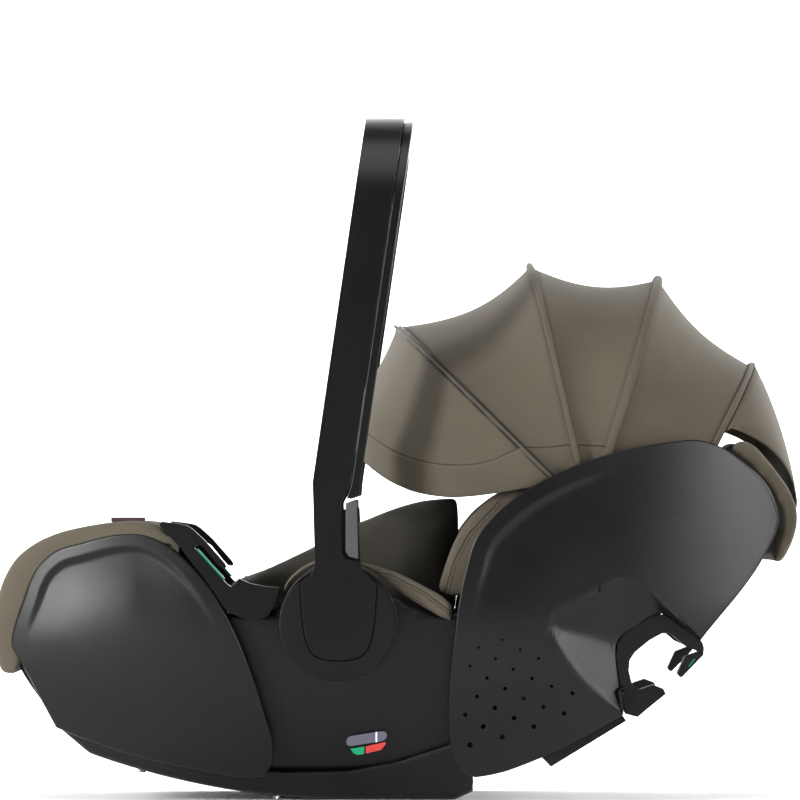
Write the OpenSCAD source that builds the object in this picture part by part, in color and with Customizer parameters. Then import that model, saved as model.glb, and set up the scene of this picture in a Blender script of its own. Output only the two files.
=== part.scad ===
// Rear-facing infant car seat: rocker base and seat tub, reclining backrest with
// side covers, folding canopy, swinging carry handle, sliding headrest and harness.
// X runs from the foot end to the head end, Y across the seat, Z up.
// The origin is the middle of the flat rest face under the base.

/* [Overall] */
// Length from the foot end to the head end
seat_length = 668; // [560:1:800]
// Width over the handle hubs
seat_width = 440; // [380:1:520]
// Height of the side covers above the floor
body_height = 296; // [250:1:350]
// Height of the carry handle above the floor
handle_height = 562; // [520:1:680]

/* [Walls] */
// Wall of the outer side covers
cover_wall = 3; // [2:0.25:4]
// Wall of the seat and back shells
shell_wall = 3.5; // [2.5:0.25:4.2]
// Wall of the rocker base
base_wall = 3.6; // [2.5:0.2:4.4]
// Running clearance between pieces that slide past each other
slide_gap = 0.5; // [0.3:0.05:1]
// Radial clearance of the pins in their bores
pin_gap = 0.05; // [0.02:0.01:0.09]

/* [Handle] */
// Radius of the handle hub caps
hub_r = 46.4; // [40:0.2:52]
// Thickness of a handle arm, across the seat
arm_wall = 11; // [8:0.5:14]
// Depth of a handle arm, along the seat
arm_depth = 39; // [32:1:44]
// Depth of the separate strip along the back of the handle
strip_depth = 8; // [6:0.5:10]
// Height of the handle crossbar
crossbar_height = 24; // [16:1:30]
// Radius of the handle's upper corners
corner_r = 78; // [60:1:100]
// Radius of the handle pivot pins
pivot_pin_r = 8; // [6:0.5:10]
// Travel of the handle release buttons
button_travel = 2.5; // [2:0.5:4]

/* [Canopy] */
// Width of a canopy bow, along its sweep
bow_width = 6; // [4:0.5:8]
// Thickness of a canopy bow leg, across the seat
bow_wall = 2.2; // [1.6:0.1:2.6]
// Thickness of the canopy fabric solids
fabric_wall = 2; // [1.5:0.25:3]
// Radius at which the canopy fabric ends above the bow pivot
hem_r = 46; // [40:1:70]
// Depth of the scallop between two bows
scallop = 8; // [0:1:14]

/* [Recline] */
// Radius of the recline pins
recline_pin_r = 7; // [5:0.5:9]
// Radius of the arc joint between seat shell and back shell
arc_r = 96; // [90:1:104]

/* [Belt and docking] */
// Radius of the two steel docking bars
dock_bar_r = 6; // [4:0.5:8]
// Half length of a docking bar
dock_bar_half = 106; // [90:1:120]
// Width of the harness webbing
webbing = 38; // [30:1:42]
// Thickness of the harness webbing
webbing_wall = 2.4; // [1.5:0.1:3]

/* [Pads] */
// Thickness of the seat and back pads
pad_wall = 16; // [10:1:18]
// Thickness of the crash foam behind the pads
foam_wall = 10; // [6:1:12]

/* [Hidden] */
$fn = 64;

// Outlines are drawn in the side view at the nominal size and stretched to the overall sizes.
kx = seat_length / 668;
kz = body_height / 296;
function at(p) = [p[0] * kx, p[1] * kz];
function path(points) = [for (p = points) at(p)];

// Pivots in the side view.
hub = at([-50.4, 146.3]);
recline_axis = at([62, 153]);
canopy_axis = at([155.5, 235]);

// Layers across the seat, as depths below the outer skin.
half_width = seat_width / 2;
arm_in = half_width - arm_wall;
cover_y = arm_in - 3;
bow_layer = cover_wall + 6;
bow_pitch = bow_wall + 0.5;
seat_wall_in = 14;
back_wall_in = seat_wall_in + shell_wall + 1.5;
foam_in = back_wall_in + shell_wall + 1.5;
base_wall_in = seat_wall_in - base_wall - 0.4;
cut = 400;

// Outer skin of the seat: half width at a place in the side view, less a depth.
foot_taper = 56;
head_taper = 40;
waist = 170 * kz;
function plan_y(x) = cover_y
    - foot_taper * pow(max(0, (-100 * kx - x) / (221 * kx)), 2)
    - head_taper * pow(max(0, (x - 120 * kx) / (192 * kx)), 2);
function tuck(z) = 42 * pow(max(0, (waist - z) / (150 * kz)), 2)
    + 4 * pow(max(0, (z - waist) / (130 * kz)), 2);
function skin_y(x, z, depth) = plan_y(x) - tuck(z) - depth;

// ---------- general shapes ----------

// A side-view outline, extruded across the seat from y0 to y1.
module slab(points, y0, y1) {
    translate([0, y1, 0]) rotate([90, 0, 0]) linear_extrude(y1 - y0) polygon(points);
}
// A cylinder across the seat from y0 to y1.
module across(centre, r, y0, y1) {
    translate([centre[0], y1, centre[1]]) rotate([90, 0, 0]) cylinder(r = r, h = y1 - y0);
}
module both_sides() {
    children();
    mirror([0, 1, 0]) children();
}
// A closed solid between two grids of points with the same rows and columns.
module between_grids(outer, inner) {
    rows = len(outer);
    cols = len(outer[0]);
    n = rows * cols;
    function id(s, r, c) = s * n + r * cols + c;
    points = concat([for (row = outer) each row], [for (row = inner) each row]);
    quads = concat(
        [for (r = [0:rows - 2], c = [0:cols - 2])
            [id(0, r, c), id(0, r + 1, c), id(0, r + 1, c + 1), id(0, r, c + 1)]],
        [for (r = [0:rows - 2], c = [0:cols - 2])
            [id(1, r, c), id(1, r, c + 1), id(1, r + 1, c + 1), id(1, r + 1, c)]],
        [for (r = [0:rows - 2]) [id(0, r, 0), id(1, r, 0), id(1, r + 1, 0), id(0, r + 1, 0)]],
        [for (r = [0:rows - 2]) [id(0, r, cols - 1), id(0, r + 1, cols - 1),
            id(1, r + 1, cols - 1), id(1, r, cols - 1)]],
        [for (c = [0:cols - 2]) [id(0, 0, c), id(0, 0, c + 1), id(1, 0, c + 1), id(1, 0, c)]],
        [for (c = [0:cols - 2]) [id(0, rows - 1, c), id(1, rows - 1, c),
            id(1, rows - 1, c + 1), id(0, rows - 1, c + 1)]]);
    faces = [for (q = quads) each [[q[0], q[2], q[1]], [q[0], q[3], q[2]]]];
    polyhedron(points, faces, convexity = 8);
}
// Every skin piece is cut from one common grid, so that neighbouring walls keep parallel faces.
skin_x0 = -345 * kx;
skin_z0 = -5;
grid_x = 36 * kx;
grid_z = 24 * kz;
function grid_xs(x0, x1) = [for (i = [floor((x0 - skin_x0) / grid_x)
    : ceil((x1 - skin_x0) / grid_x)]) skin_x0 + i * grid_x];
function grid_zs(z0, z1) = [for (i = [floor((z0 - skin_z0) / grid_z)
    : ceil((z1 - skin_z0) / grid_z)]) skin_z0 + i * grid_z];
function lows(points, k) = min([for (p = points) p[k]]);
function highs(points, k) = max([for (p = points) p[k]]);
// A side-view outline on the left of the seat, between two depths below the skin.
module side_piece(points, d0, d1) {
    xs = grid_xs(lows(points, 0) - 1, highs(points, 0) + 1);
    zs = grid_zs(lows(points, 1) - 1, highs(points, 1) + 1);
    intersection() {
        slab(points, -cut, 0);
        between_grids([for (z = zs) [for (x = xs) [x, -skin_y(x, z, d1), z]]],
                      [for (z = zs) [for (x = xs) [x, -skin_y(x, z, d0), z]]]);
    }
}
// A side-view outline right across the seat, inside the skin at a depth.
module full_piece(points, depth) {
    xs = grid_xs(lows(points, 0) - 1, highs(points, 0) + 1);
    zs = grid_zs(lows(points, 1) - 1, highs(points, 1) + 1);
    intersection() {
        slab(points, -cut, cut);
        between_grids([for (z = zs) [for (x = xs) [x, skin_y(x, z, depth), z]]],
                      [for (z = zs) [for (x = xs) [x, -skin_y(x, z, depth), z]]]);
    }
}

// ---------- base ----------

// Flat rest face, with a rocker curve towards the foot end.
rest_foot = -35 * kx;
rest_head = 45 * kx;
rocker_r = 660 * kx;
rocker_end = -247 * kx;
function rocker_z(x) = x >= rest_foot ? 0 : rocker_r - sqrt(pow(rocker_r, 2) - pow(x - rest_foot, 2));
rocker_xs = [for (i = [0:8]) rest_foot + (rocker_end - rest_foot) * i / 8];
base_rear = [[60, 7], [60, 50]];
base_rim = [[40, 42], [0, 28.7], [-41, 20.5], [-91, 19], [-114, 20.5], [-124, 25], [-204, 39], [-268, 56]];
base_outline = concat([[rest_head, 0]], path(base_rear), path(base_rim),
    [for (i = [8:-1:0]) [rocker_xs[i], rocker_z(rocker_xs[i])]]);
base_plate = concat([[rest_head, 0], at([60, 7]), at([60, 7]) + [0, base_wall], [rest_head, base_wall]],
    [for (x = rocker_xs) [x, rocker_z(x) + base_wall]],
    [for (i = [8:-1:0]) [rocker_xs[i], rocker_z(rocker_xs[i])]]);
dock_bars = [at([-185, 52]), at([25, 26])];
dock_slot = [44, 150];
rib_y = 98;
rib_wall = 5;

module base_shell() {
    color([0.10, 0.10, 0.11])
    difference() {
        union() {
            both_sides() side_piece(base_outline, base_wall_in, base_wall_in + base_wall);
            full_piece(base_plate, base_wall_in + base_wall / 2);
            both_sides() for (bar = dock_bars)
                slab([[bar[0] - 16, rocker_z(bar[0] - 16) + 1], [bar[0] + 16, rocker_z(bar[0] + 16) + 1],
                    [bar[0] + 10, bar[1] + 11], [bar[0] - 10, bar[1] + 11]], -rib_y - rib_wall, -rib_y);
        }
        for (bar = dock_bars) {
            translate([bar[0] - dock_slot[0] / 2, -dock_slot[1] / 2, -10])
                cube([dock_slot[0], dock_slot[1], 10 + rocker_z(bar[0] - 22) + base_wall + 3]);
            across(bar, dock_bar_r + pin_gap, -rib_y - rib_wall - 1, rib_y + rib_wall + 1);
        }
        both_sides() for (p = screw_places) translate([p[0] * kx, p[1],
            -10]) cylinder(r = screw_r + 0.1, h = 60);
    }
}
module docking_bars() {
    color([0.72, 0.73, 0.75]) for (bar = dock_bars) across(bar, dock_bar_r, -dock_bar_half, dock_bar_half);
}
screw_places = [[-215, 105], [-100, 100]];
screw_r = 2;
module base_screws() {
    color([0.55, 0.56, 0.58]) both_sides() for (p = screw_places) translate([p[0] * kx, p[1],
        rocker_z(p[0] * kx)]) {
        translate([0, 0, -3.4]) cylinder(r = 4.5, h = 2);
        translate([0, 0, -1.4]) cylinder(r = screw_r, h = 12);
    }
}

// ---------- seat shell ----------

// Upper face of the shell floor, from the foot wall to the recline joint.
floor_top = [[-315, 160], [-300, 165], [-200, 145], [-110, 104], [-50, 80], [0, 72], [50, 72]];
function lifted(points, dz) = [for (p = path(points)) p + [0, dz]];
function band(points, low, high) = concat(lifted(points, high),
    [for (i = [len(points) - 1:-1:0]) path(points)[i] + [0, low]]);
foot_wall = [[-316, 158], [-322, 131], [-284, 61], [-280, 64], [-317, 131], [-311.5, 160]];
seat_side = [[-318, 110], [-319, 131], [-317, 155], [-309, 172], [-301, 187], [-291, 196], [-277, 203.5],
    [-255, 209], [-232, 211.5], [-215, 212], [-198, 207], [-170, 178], [-140, 146], [-118, 141], [-100,
        152],
    [-85, 166], [-60, 180], [-19, 180], [5, 162], [33, 146], [44, 143]];
seat_side_low = [[100, 120], [100, 62], [60, 46], [40, 38], [0, 26], [-41, 22], [-91, 21], [-124, 24],
    [-204, 38], [-266, 57], [-284, 64]];
recline_boss_r = recline_pin_r + 8;

module seat_shell() {
    color([0.10, 0.10, 0.11])
    difference() {
        union() {
            both_sides() {
                side_piece(concat(path(seat_side), path([[46, 143], [56, 166], [70, 167], [84, 150]]),
                    path(seat_side_low)), seat_wall_in, seat_wall_in + shell_wall);
                recline_y = skin_y(recline_axis[0], recline_axis[1], seat_wall_in + shell_wall);
                across(recline_axis, recline_boss_r, -recline_y - shell_wall - 1.5, -recline_y);
            }
            full_piece(band(floor_top, -shell_wall, 0), seat_wall_in + shell_wall / 2);
            full_piece(path(foot_wall), seat_wall_in + shell_wall / 2);
        }
        across(recline_axis, recline_pin_r + pin_gap, -cut, cut);
        across(hub, pivot_pin_r + pin_gap, -cut, cut);
    }
}
module seat_foam() {
    color([0.85, 0.85, 0.83])
    both_sides() side_piece(path([[-285, 175], [-250, 200], [-205, 202], [-170, 172], [-140, 140],
        [-100, 140],
        [-60, 168], [-22, 168], [5, 150], [40, 130], [40, 76], [0, 76], [-50, 84], [-110, 108], [-200, 149],
        [-285, 168]]), foam_in, foam_in + foam_wall);
}

// ---------- outer covers ----------

front_outline = [[-321, 130], [-312, 160], [-296, 195], [-284, 205], [-262, 212], [-228, 219.3], [-212,
    219],
    [-196, 213.5], [-184, 206], [-170, 193], [-144, 156], [-122, 106], [-111, 71], [-104.5, 47],
    [-105, 30], [-112, 20], [-124, 18.8], [-205, 32.7], [-266, 52.4], [-283.5, 59.7]];
module front_cover() {
    color([0.13, 0.13, 0.14]) side_piece(path(front_outline), 0, cover_wall);
}
module front_cover_left() { front_cover(); }
module front_cover_right() { mirror([0, 1, 0]) front_cover(); }

// Outline of the belt guide at the back of a rear cover: seam, hook, mouth and lower lip.
guide_seam = [[184.6, 71.6], [179.3, 102.3], [176.8, 118.2], [178, 128.5], [183.3, 137.5], [206.3, 152.2],
    [216.9, 153.5], [223.4, 149], [248, 131]];
guide_hook = [[249.6, 126], [249.2, 120], [231.6, 101.7], [229.5, 101.7], [227.3, 104.8], [233.8, 118.7],
    [244.6, 122.6], [233.8, 127.4], [224.3, 135.4], [219.4, 137.9], [214.9, 137.5], [204.6, 131.8],
    [192.9, 122.2], [188.6, 115.7], [187.8, 106.9], [190.7, 95.2], [196.4, 91.3], [207.6, 95.4],
    [216.3, 92.2], [218.3, 87.9], [204.6, 76.9], [195.1, 68.8]];
rear_outline = concat([[40.9, 50.7], [44.5, 34], [52.4, 22.9], [62.2, 18.8], [80.2, 22.1], [113, 33.9],
    [183.3, 71]],
    [[183.8, 71.5], [178.5, 102.3], [175.9, 118.3], [177.1, 129.2], [182.8, 138.4], [206.1, 153.2],
        [217.1, 154.5], [224, 149.8], [248.6, 131.9]],
    [[299.6, 201.3], [308.6, 219.4], [311.5, 231.6], [310.2, 239], [300.4, 261.1], [280.7, 279.1],
    [261.1, 291.8], [243.1, 296.3], [223.2, 294.8], [179.2, 286.9], [137.9, 273], [99.9, 252.9], [78.6,
        235.3],
    [62.2, 215.3], [54, 190], [48.3, 163.7], [44.6, 134.2], [40.1, 74.5]]);
// Air holes: place in the side view and radius. They grow towards the lower end.
vents = [[102.6, 140.8, 0.95], [83.9, 132.7, 1.15], [98.4, 124.6, 1.15], [113.6, 117.3, 1.15],
    [64.6, 126.1, 1.35], [78.3, 117.1, 1.35], [92.8, 108.4, 1.35], [108.2, 100.8, 1.35],
    [124.5, 94.3, 1.35], [141.3, 88.7, 1.35], [57.5, 111.1, 1.55], [71.2, 101.2, 1.55],
    [86, 92.5, 1.55], [101.5, 84.4, 1.55], [117.9, 77.5, 1.55], [134.5, 71.9, 1.55],
    [63.1, 86, 1.75], [77.9, 76.7, 1.75], [93.6, 68.4, 1.75], [110, 61.1, 1.75], [53.6, 71.1, 1.95],
    [68.5, 61.3, 1.95], [83.9, 52.6, 1.95], [57.6, 46.2, 2.15]];
module rear_cover() {
    color([0.12, 0.12, 0.13])
    difference() {
        side_piece(path(rear_outline), 0, cover_wall);
        for (v = vents) across(at(v), v[2], -cut, -100);
    }
}
module rear_cover_left() { rear_cover(); }
module rear_cover_right() { mirror([0, 1, 0]) rear_cover(); }

// ---------- belt guides ----------

lap_guide = [[-197.3, 226.5], [-195, 229.5], [-182, 227.8], [-175, 226.5], [-170.2, 223.5], [-160.8,
    215], [-151.4, 204.5], [-143.6, 195.5],
    [-142, 192.4], [-143.8, 191], [-147, 191.8], [-150, 194.8], [-160.8, 208.2], [-164, 210.6], [-166.2,
        210.4], [-168.2, 207.7],
    [-142, 178.7], [-138, 176], [-134.6, 177.6], [-132.2, 183], [-122.4, 178.7], [-110.7, 176.4],
        [-98.5, 175.6],
    [-102, 163], [-107.5, 152.4], [-118.7, 148.3], [-129.5, 150.4], [-140.4, 155.4], [-149.8, 163.8],
        [-157.6, 174], [-165.4, 187],
    [-170.2, 195.1], [-178.8, 207], [-189, 217.3]];
guide_proud = 0.5;
lap_guide_deep = 22;
module lap_belt_guides() {
    color([0.09, 0.09, 0.10])
    both_sides() {
        y = skin_y(-150 * kx, 190 * kz, 0);
        difference() {
            slab(path(lap_guide), -y - guide_proud, -y + lap_guide_deep);
            // clearance around the seat shell wall below the guide
            slab(path([[-202, 214], [-196, 209], [-172, 180], [-140, 148.5], [-118, 143.5], [-98, 156],
                [-98, 130], [-202, 130]]),
                -skin_y(-150 * kx, 190 * kz, seat_wall_in - 1.6), -y + lap_guide_deep + 1);
            // clearance behind the front cover's slanted edge
            slab(path([[-194, 218], [-182.5, 208], [-168, 195], [-142, 157.5], [-120, 107.5], [-220,
                107], [-220, 218]]),
                -y - guide_proud - 1, -y + cover_wall + 2.4);
        }
    }
}
module lap_slot_markers() {
    color([0.05, 0.55, 0.32])
    both_sides() {
        y = skin_y(-150 * kx, 190 * kz, 0);
        slab(path([[-166.6, 206.2], [-144.6, 181.8], [-143.5, 182.8], [-165.5, 207.2]]), -y + 0.5,
            -y + lap_guide_deep - 1);
    }
}
guide_in = cover_wall + 1.5;
guide_deep = 34;
guide_y = skin_y(248 * kx, 131 * kz, guide_in);
module shoulder_belt_guides() {
    color([0.14, 0.14, 0.15])
    both_sides() difference() {
        slab(path(concat(guide_seam, guide_hook)), -guide_y, -guide_y + guide_deep);
        // clearance below the back shell
        slab([for (p = [[-60, 0], [90, 0], [90, 90], [-60, 90]]) at([190,
            133]) + [0.787 * p[0] - 0.617 * p[1], 0.617 * p[0] + 0.787 * p[1] - 6]],
            -guide_y + 2.5, cut);
    }
}
module guide_inlays() {
    color([0.04, 0.42, 0.36])
    both_sides() slab(path([[241.4, 117], [236.6, 110.7], [237.4, 110.1], [242.2, 116.4]]),
        -guide_y - 0.8, -guide_y - 0.01);
}

// ---------- level window ----------

level_centre = at([-27.5, 51]);
module level_piece(points, proud) {
    both_sides() side_piece(points, seat_wall_in - proud, seat_wall_in - 0.2);
}
module level_vials() {
    color([0.33, 0.33, 0.40])
    level_piece([for (s = [0, 180], a = [-90:22.5:90]) level_centre
        + [cos(s) * (12.5 + 4.2 * cos(a)) - sin(s) * 4.2 * sin(a),
            cos(s) * 4.2 * sin(a) + 0.16 * cos(s) * (12.5 + 4.2 * cos(a))]], 2.2);
}
module level_marks_green() {
    color([0.02, 0.55, 0.36]) level_piece(path([[-40.8, 42.6], [-29.2, 44.4], [-29.8, 38.2], [-35,
        37.4], [-38.4, 39]]), 1.4);
}
module level_marks_red() {
    color([0.83, 0.20, 0.20]) level_piece(path([[-28, 44.6], [-11.9, 48.2], [-11.9, 46.2], [-15.6,
        41.6], [-28.2, 38.6]]), 1.4);
}

// ---------- handle ----------

hub_cap_wall = 9;
socket_wall = 12;
cap_out = half_width - 1.5;
cap_in = cap_out - hub_cap_wall;
socket_out = cap_in - slide_gap;
socket_r = hub_r + 2;
arm_top = handle_height;
// Front and back edges of the arm in the side view, from the hub to the crossbar.
function lean(z) = hub[0] - 1 + max(0, z - 262 * kz) * (43.6 / (arm_top - 262 * kz));
arm_zs = [for (i = [0:6]) 262 * kz + (arm_top - 262 * kz) * i / 6];
arm_front = concat([[hub[0] - 19.2, hub[1] + 48], [hub[0] - 20.2, 240 * kz]],
    [for (z = arm_zs) [lean(z) - arm_depth / 2 - 0.6, z]]);
strip_joint = [for (z = arm_zs) [lean(z) + arm_depth / 2 - strip_depth, z]];
strip_back = [for (z = arm_zs) [lean(z) + arm_depth / 2, z]];
notch_x = hub[0] + 2.4;
notch_foot = hub[1] + 50;
notch_head = 249 * kz;
// The tongue of the arm that lies in the hub cap.
tongue = [[hub[0] - 31.5, hub[1] + 32], [hub[0] - 30.2, hub[1] + 17], [hub[0] - 29, hub[1] + 2],
    [hub[0] - 27.8, hub[1] - 8], [hub[0] - 26, hub[1] - 15.5], [hub[0] - 23.4, hub[1] - 21.5],
    [hub[0] - 19.6, hub[1] - 25.9], [hub[0] - 14.5, hub[1] - 28.6], [hub[0] - 7.5, hub[1] - 30],
    [hub[0] + 0, hub[1] - 30.3], [hub[0] + 7.5, hub[1] - 30], [hub[0] + 14.5, hub[1] - 28.6],
    [hub[0] + 19.6, hub[1] - 25.9], [hub[0] + 23.4, hub[1] - 21.5], [hub[0] + 26, hub[1] - 15.5],
    [hub[0] + 27.8, hub[1] - 8], [hub[0] + 29, hub[1] + 2], [hub[0] + 30.2, hub[1] + 17],
    [hub[0] + 31.5, hub[1] + 32],
    [hub[0] + 22, hub[1] + 41], [hub[0] + 16, notch_foot]];
arm_outline = concat(tongue, [[notch_x + 3, notch_foot + 3], [notch_x, notch_foot + 8], [notch_x,
    notch_head - 4],
    [notch_x + 3, notch_head + 2]], strip_joint,
    [for (i = [len(arm_front) - 1:-1:0]) arm_front[i]], [[hub[0] - 22, hub[1] + 40]]);
// The handle seen from the foot end: two arms, rounded corners and the crossbar.
function u_side(y, top, r) = concat([[-y, 0]],
    [for (a = [180:-7.5:90]) [-y + r + r * cos(a), top - r + r * sin(a)]],
    [for (a = [90:-7.5:0]) [y - r + r * cos(a), top - r + r * sin(a)]], [[y, 0]]);
module handle_bow(top_drop = 0) {
    translate([-cut, 0, 0]) rotate([90, 0, 90]) linear_extrude(2 * cut) difference() {
        polygon(u_side(half_width, arm_top - top_drop, corner_r));
        polygon(u_side(arm_in, arm_top - crossbar_height, corner_r - 14));
    }
}
// A thin web behind each release button closes its opening.
button_web = 3;
web_outline = [[notch_x - 2, notch_foot - 2], [notch_x + 16, notch_foot - 4], [notch_x + 13.5,
    notch_head - 8],
    [notch_x - 2, notch_head - 10]];
module handle_frame() {
    color([0.11, 0.11, 0.12])
    difference() {
        union() {
            intersection() {
                slab(arm_outline, -cut, cut);
                handle_bow();
            }
            both_sides() slab(web_outline, -arm_in - button_web, -arm_in);
        }
        both_sides() {
            across(hub, hub_r + 4, -cap_in, -arm_in + 5);
            across(hub, pivot_pin_r + pin_gap, -cap_out + 3, -arm_in + 5);
        }
    }
}
module handle_strip() {
    color([0.20, 0.20, 0.21])
    intersection() {
        slab(concat([for (p = strip_joint) p + [0.4, 0]],
            [for (i = [len(strip_back) - 1:-1:0]) strip_back[i]],
            [[strip_back[0][0] - 0.8, notch_head + 2.2], [notch_x + 4.4, notch_head - 1.2]]), -cut, cut);
        handle_bow(3);
    }
}
module hub_caps() {
    color([0.17, 0.17, 0.18])
    both_sides() difference() {
        across(hub, hub_r, -cap_out, -cap_in);
        slab(concat([for (p = tongue) hub + (p - hub) * (1 + 0.8 / norm(p - hub))], [[hub[0] - 22.6,
            hub[1] + 56]]),
            -cap_out - 1, -cap_in + 1);
        across(hub, pivot_pin_r + pin_gap, -cut, -cap_in + 1);
    }
}
module hub_sockets() {
    color([0.10, 0.10, 0.11])
    both_sides() difference() {
        across(hub, socket_r, -socket_out, -skin_y(hub[0], waist, seat_wall_in) - 0.3);
        across(hub, pivot_pin_r + pin_gap, -cut, 0);
    }
}
module handle_pivot_pins() {
    color([0.70, 0.71, 0.73])
    both_sides() {
        across(hub, pivot_pin_r, -cap_out + 3.5, -skin_y(hub[0], hub[1], seat_wall_in + shell_wall) + 2.2);
        across(hub, pivot_pin_r + 5, -skin_y(hub[0], hub[1], seat_wall_in + shell_wall) + 2.2,
            -skin_y(hub[0], hub[1], seat_wall_in + shell_wall) + 5);
    }
}
button_edge = notch_x + 1 + button_travel;
button_outline = [[button_edge, notch_foot + 8.5], [button_edge + 3, notch_foot + 4.2],
    [button_edge + 10.4, notch_foot + 2.6],
    [button_edge + 9.2, notch_head - 0.8], [button_edge, notch_head - 4.6]];
module handle_button() {
    color([0.33, 0.33, 0.34]) slab(button_outline, -half_width + 1.5, -arm_in - button_web - slide_gap);
}
module handle_button_left() { handle_button(); }
module handle_button_right() { mirror([0, 1, 0]) handle_button(); }

// ---------- seat fabric and pads ----------

foot_roll_out = [[-318.8, 104], [-326.6, 105], [-331.7, 113], [-334, 131], [-333, 158], [-326.5, 182],
    [-316, 199], [-301, 211], [-284, 219], [-258, 225], [-232, 228], [-215, 228.6], [-202, 226.2],
        [-199.5, 219]];
foot_roll_in = [[-201, 210], [-215, 214], [-232, 213.5], [-255, 211], [-278, 205], [-293, 198], [-303, 188],
    [-311.5, 172], [-320, 155], [-324, 131], [-318.8, 120]];
foot_trough = [130, 176];
module foot_cover() {
    color([0.36, 0.34, 0.28])
    difference() {
        full_piece(path(concat(foot_roll_out, foot_roll_in)), cover_wall + 0.6);
        translate([-cut, -foot_trough[0], foot_trough[1] * kz]) cube([2 * cut, 2 * foot_trough[0], cut]);
    }
}
module label_tab() {
    color([0.30, 0.23, 0.22])
    translate([-238 * kx, -150, 228.9 * kz]) cube([28, 14, 4]);
}
roll_outline = [[-98.5, 164], [-96.6, 176.4], [-90, 186], [-81.8, 192.8], [-68, 200], [-53, 204],
    [-36.4, 198.9],
    [-11.5, 192.6], [1.1, 188], [16.2, 180], [34.4, 170.3], [45, 161.5], [44, 145.7], [33.6, 149], [5.3,
        165.8],
    [-18.8, 184], [-60, 184], [-85, 170]];
module side_rolls() {
    color([0.30, 0.29, 0.24])
    both_sides() difference() {
        slab(path(roll_outline), -skin_y(-20 * kx, 170 * kz, 7), -skin_y(-20 * kx, 170 * kz, 22.5));
        across(hub, socket_r + 1, -cut, cut);
    }
}
pad_line = [[-300, 166], [-200, 146], [-110, 105], [-50, 81], [0, 73], [42, 73]];
function pad_top(x) = lookup(x, [for (p = pad_line) [p[0] * kx, p[1] * kz]]) + pad_wall;
module seat_pad() {
    color([0.26, 0.25, 0.21])
    slab(concat(lifted(concat([[-308, 166.5]], pad_line), 0.6),
        lifted([for (i = [len(pad_line) - 1:-1:0]) pad_line[i]], pad_wall)), -bolster_in + 1,
            bolster_in - 1);
}
bolster_out = cover_y - 63;
bolster_in = cover_y - 95;
module side_bolsters() {
    color([0.20, 0.20, 0.16])
    both_sides() slab(path([[-146.6, 177.9], [-110, 198.5], [-71.2, 218], [-35.2, 236.5], [-10, 245],
        [25, 250.7],
        [54, 252], [54, 160], [44, 120], [40, 74], [0, 74], [-50, 82], [-110, 106.5], [-150, 126]]),
            -bolster_out, -bolster_in);
}

// ---------- harness on the seat side ----------

buckle_x = -34 * kx;
buckle_tilt = 35;
crotch_length = 16;
buckle_size = [16, 56, 50];
module at_buckle() {
    translate([buckle_x, 0, pad_top(buckle_x) + 1.6]) rotate([0, buckle_tilt, 0]) children();
}
module crotch_strap() {
    color([0.12, 0.12, 0.12])
    at_buckle() translate([-webbing_wall / 2, -webbing / 2, 0]) cube([webbing_wall, webbing,
        crotch_length]);
}
module crotch_pad() {
    color([0.22, 0.21, 0.18])
    at_buckle() translate([-15, -32, 6]) cube([6, 64, 58]);
}
module buckle_body() {
    color([0.12, 0.12, 0.13])
    at_buckle() difference() {
        translate([-buckle_size[0] / 2, -buckle_size[1] / 2, crotch_length + 0.3]) cube(buckle_size);
        translate([0, -12, crotch_length + 14]) cube([20, 24, 26]);
    }
}
module buckle_button() {
    color([0.75, 0.10, 0.09])
    at_buckle() translate([3, -12 + slide_gap, crotch_length + 14 + slide_gap])
        cube([buckle_size[0] / 2 - 1.4, 24 - 2 * slide_gap, 26 - 2 * slide_gap]);
}
module buckle_tongues() {
    color([0.62, 0.63, 0.65])
    at_buckle() for (s = [-1, 1]) translate([-1.6, s * 15 - 10,
        crotch_length + buckle_size[2] + 0.6]) cube([3.2, 20, 16]);
}
adjuster_x = -212 * kx;
adjuster_tilt = 11.3;
module at_adjuster() {
    translate([adjuster_x, 0, pad_top(adjuster_x) + 0.2]) rotate([0, adjuster_tilt, 0]) children();
}
module harness_adjuster() {
    color([0.16, 0.16, 0.17])
    at_adjuster() difference() {
        translate([-24, -22, 0]) cube([34, 44, 11]);
        translate([-18, -14, 3]) cube([22, 28, 20]);
    }
}
module adjuster_button() {
    color([0.35, 0.35, 0.36])
    at_adjuster() translate([-18 + slide_gap, -14 + slide_gap, 6.8]) cube([22 - 2 * slide_gap,
        28 - 2 * slide_gap, 6]);
}
module adjuster_strap() {
    color([0.12, 0.12, 0.12])
    at_adjuster() translate([-70, -webbing / 2, 1]) cube([45, webbing, webbing_wall]);
}

// ---------- backrest ----------

back_line = [at([245, 175]), at([303, 222])];
arc_start = -97;
arc_end = -50;
function on_arc(r, a) = recline_axis + r * [cos(a), sin(a)];
back_plate = concat([for (i = [0:6]) on_arc(arc_r, arc_start + (arc_end - arc_start) * i / 6)], back_line,
    [for (i = [1:-1:0]) back_line[i] + shell_wall * [-0.62, 0.79]],
    [for (i = [6:-1:0]) on_arc(arc_r - shell_wall, arc_start + (arc_end - arc_start) * i / 6)]);
back_side = [[64, 139], [108, 82], [135, 97], [170, 122], [176, 132], [186, 144], [206, 158], [223,
    159], [245, 176],
    [300, 220], [304, 236], [292, 248], [268, 256], [240, 252], [226, 247], [180, 246], [150, 252],
        [130, 250], [100, 236],
    [88, 200], [78, 166], [62, 166]];
skid = [[116, 36], [124, 27.8], [186, 65.6], [181, 73], [150, 72], [120, 60]];
skid_web = [[120, 60], [150, 72], [181, 73], [170, 100], [173, 122], [140, 98], [128, 88]];

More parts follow.
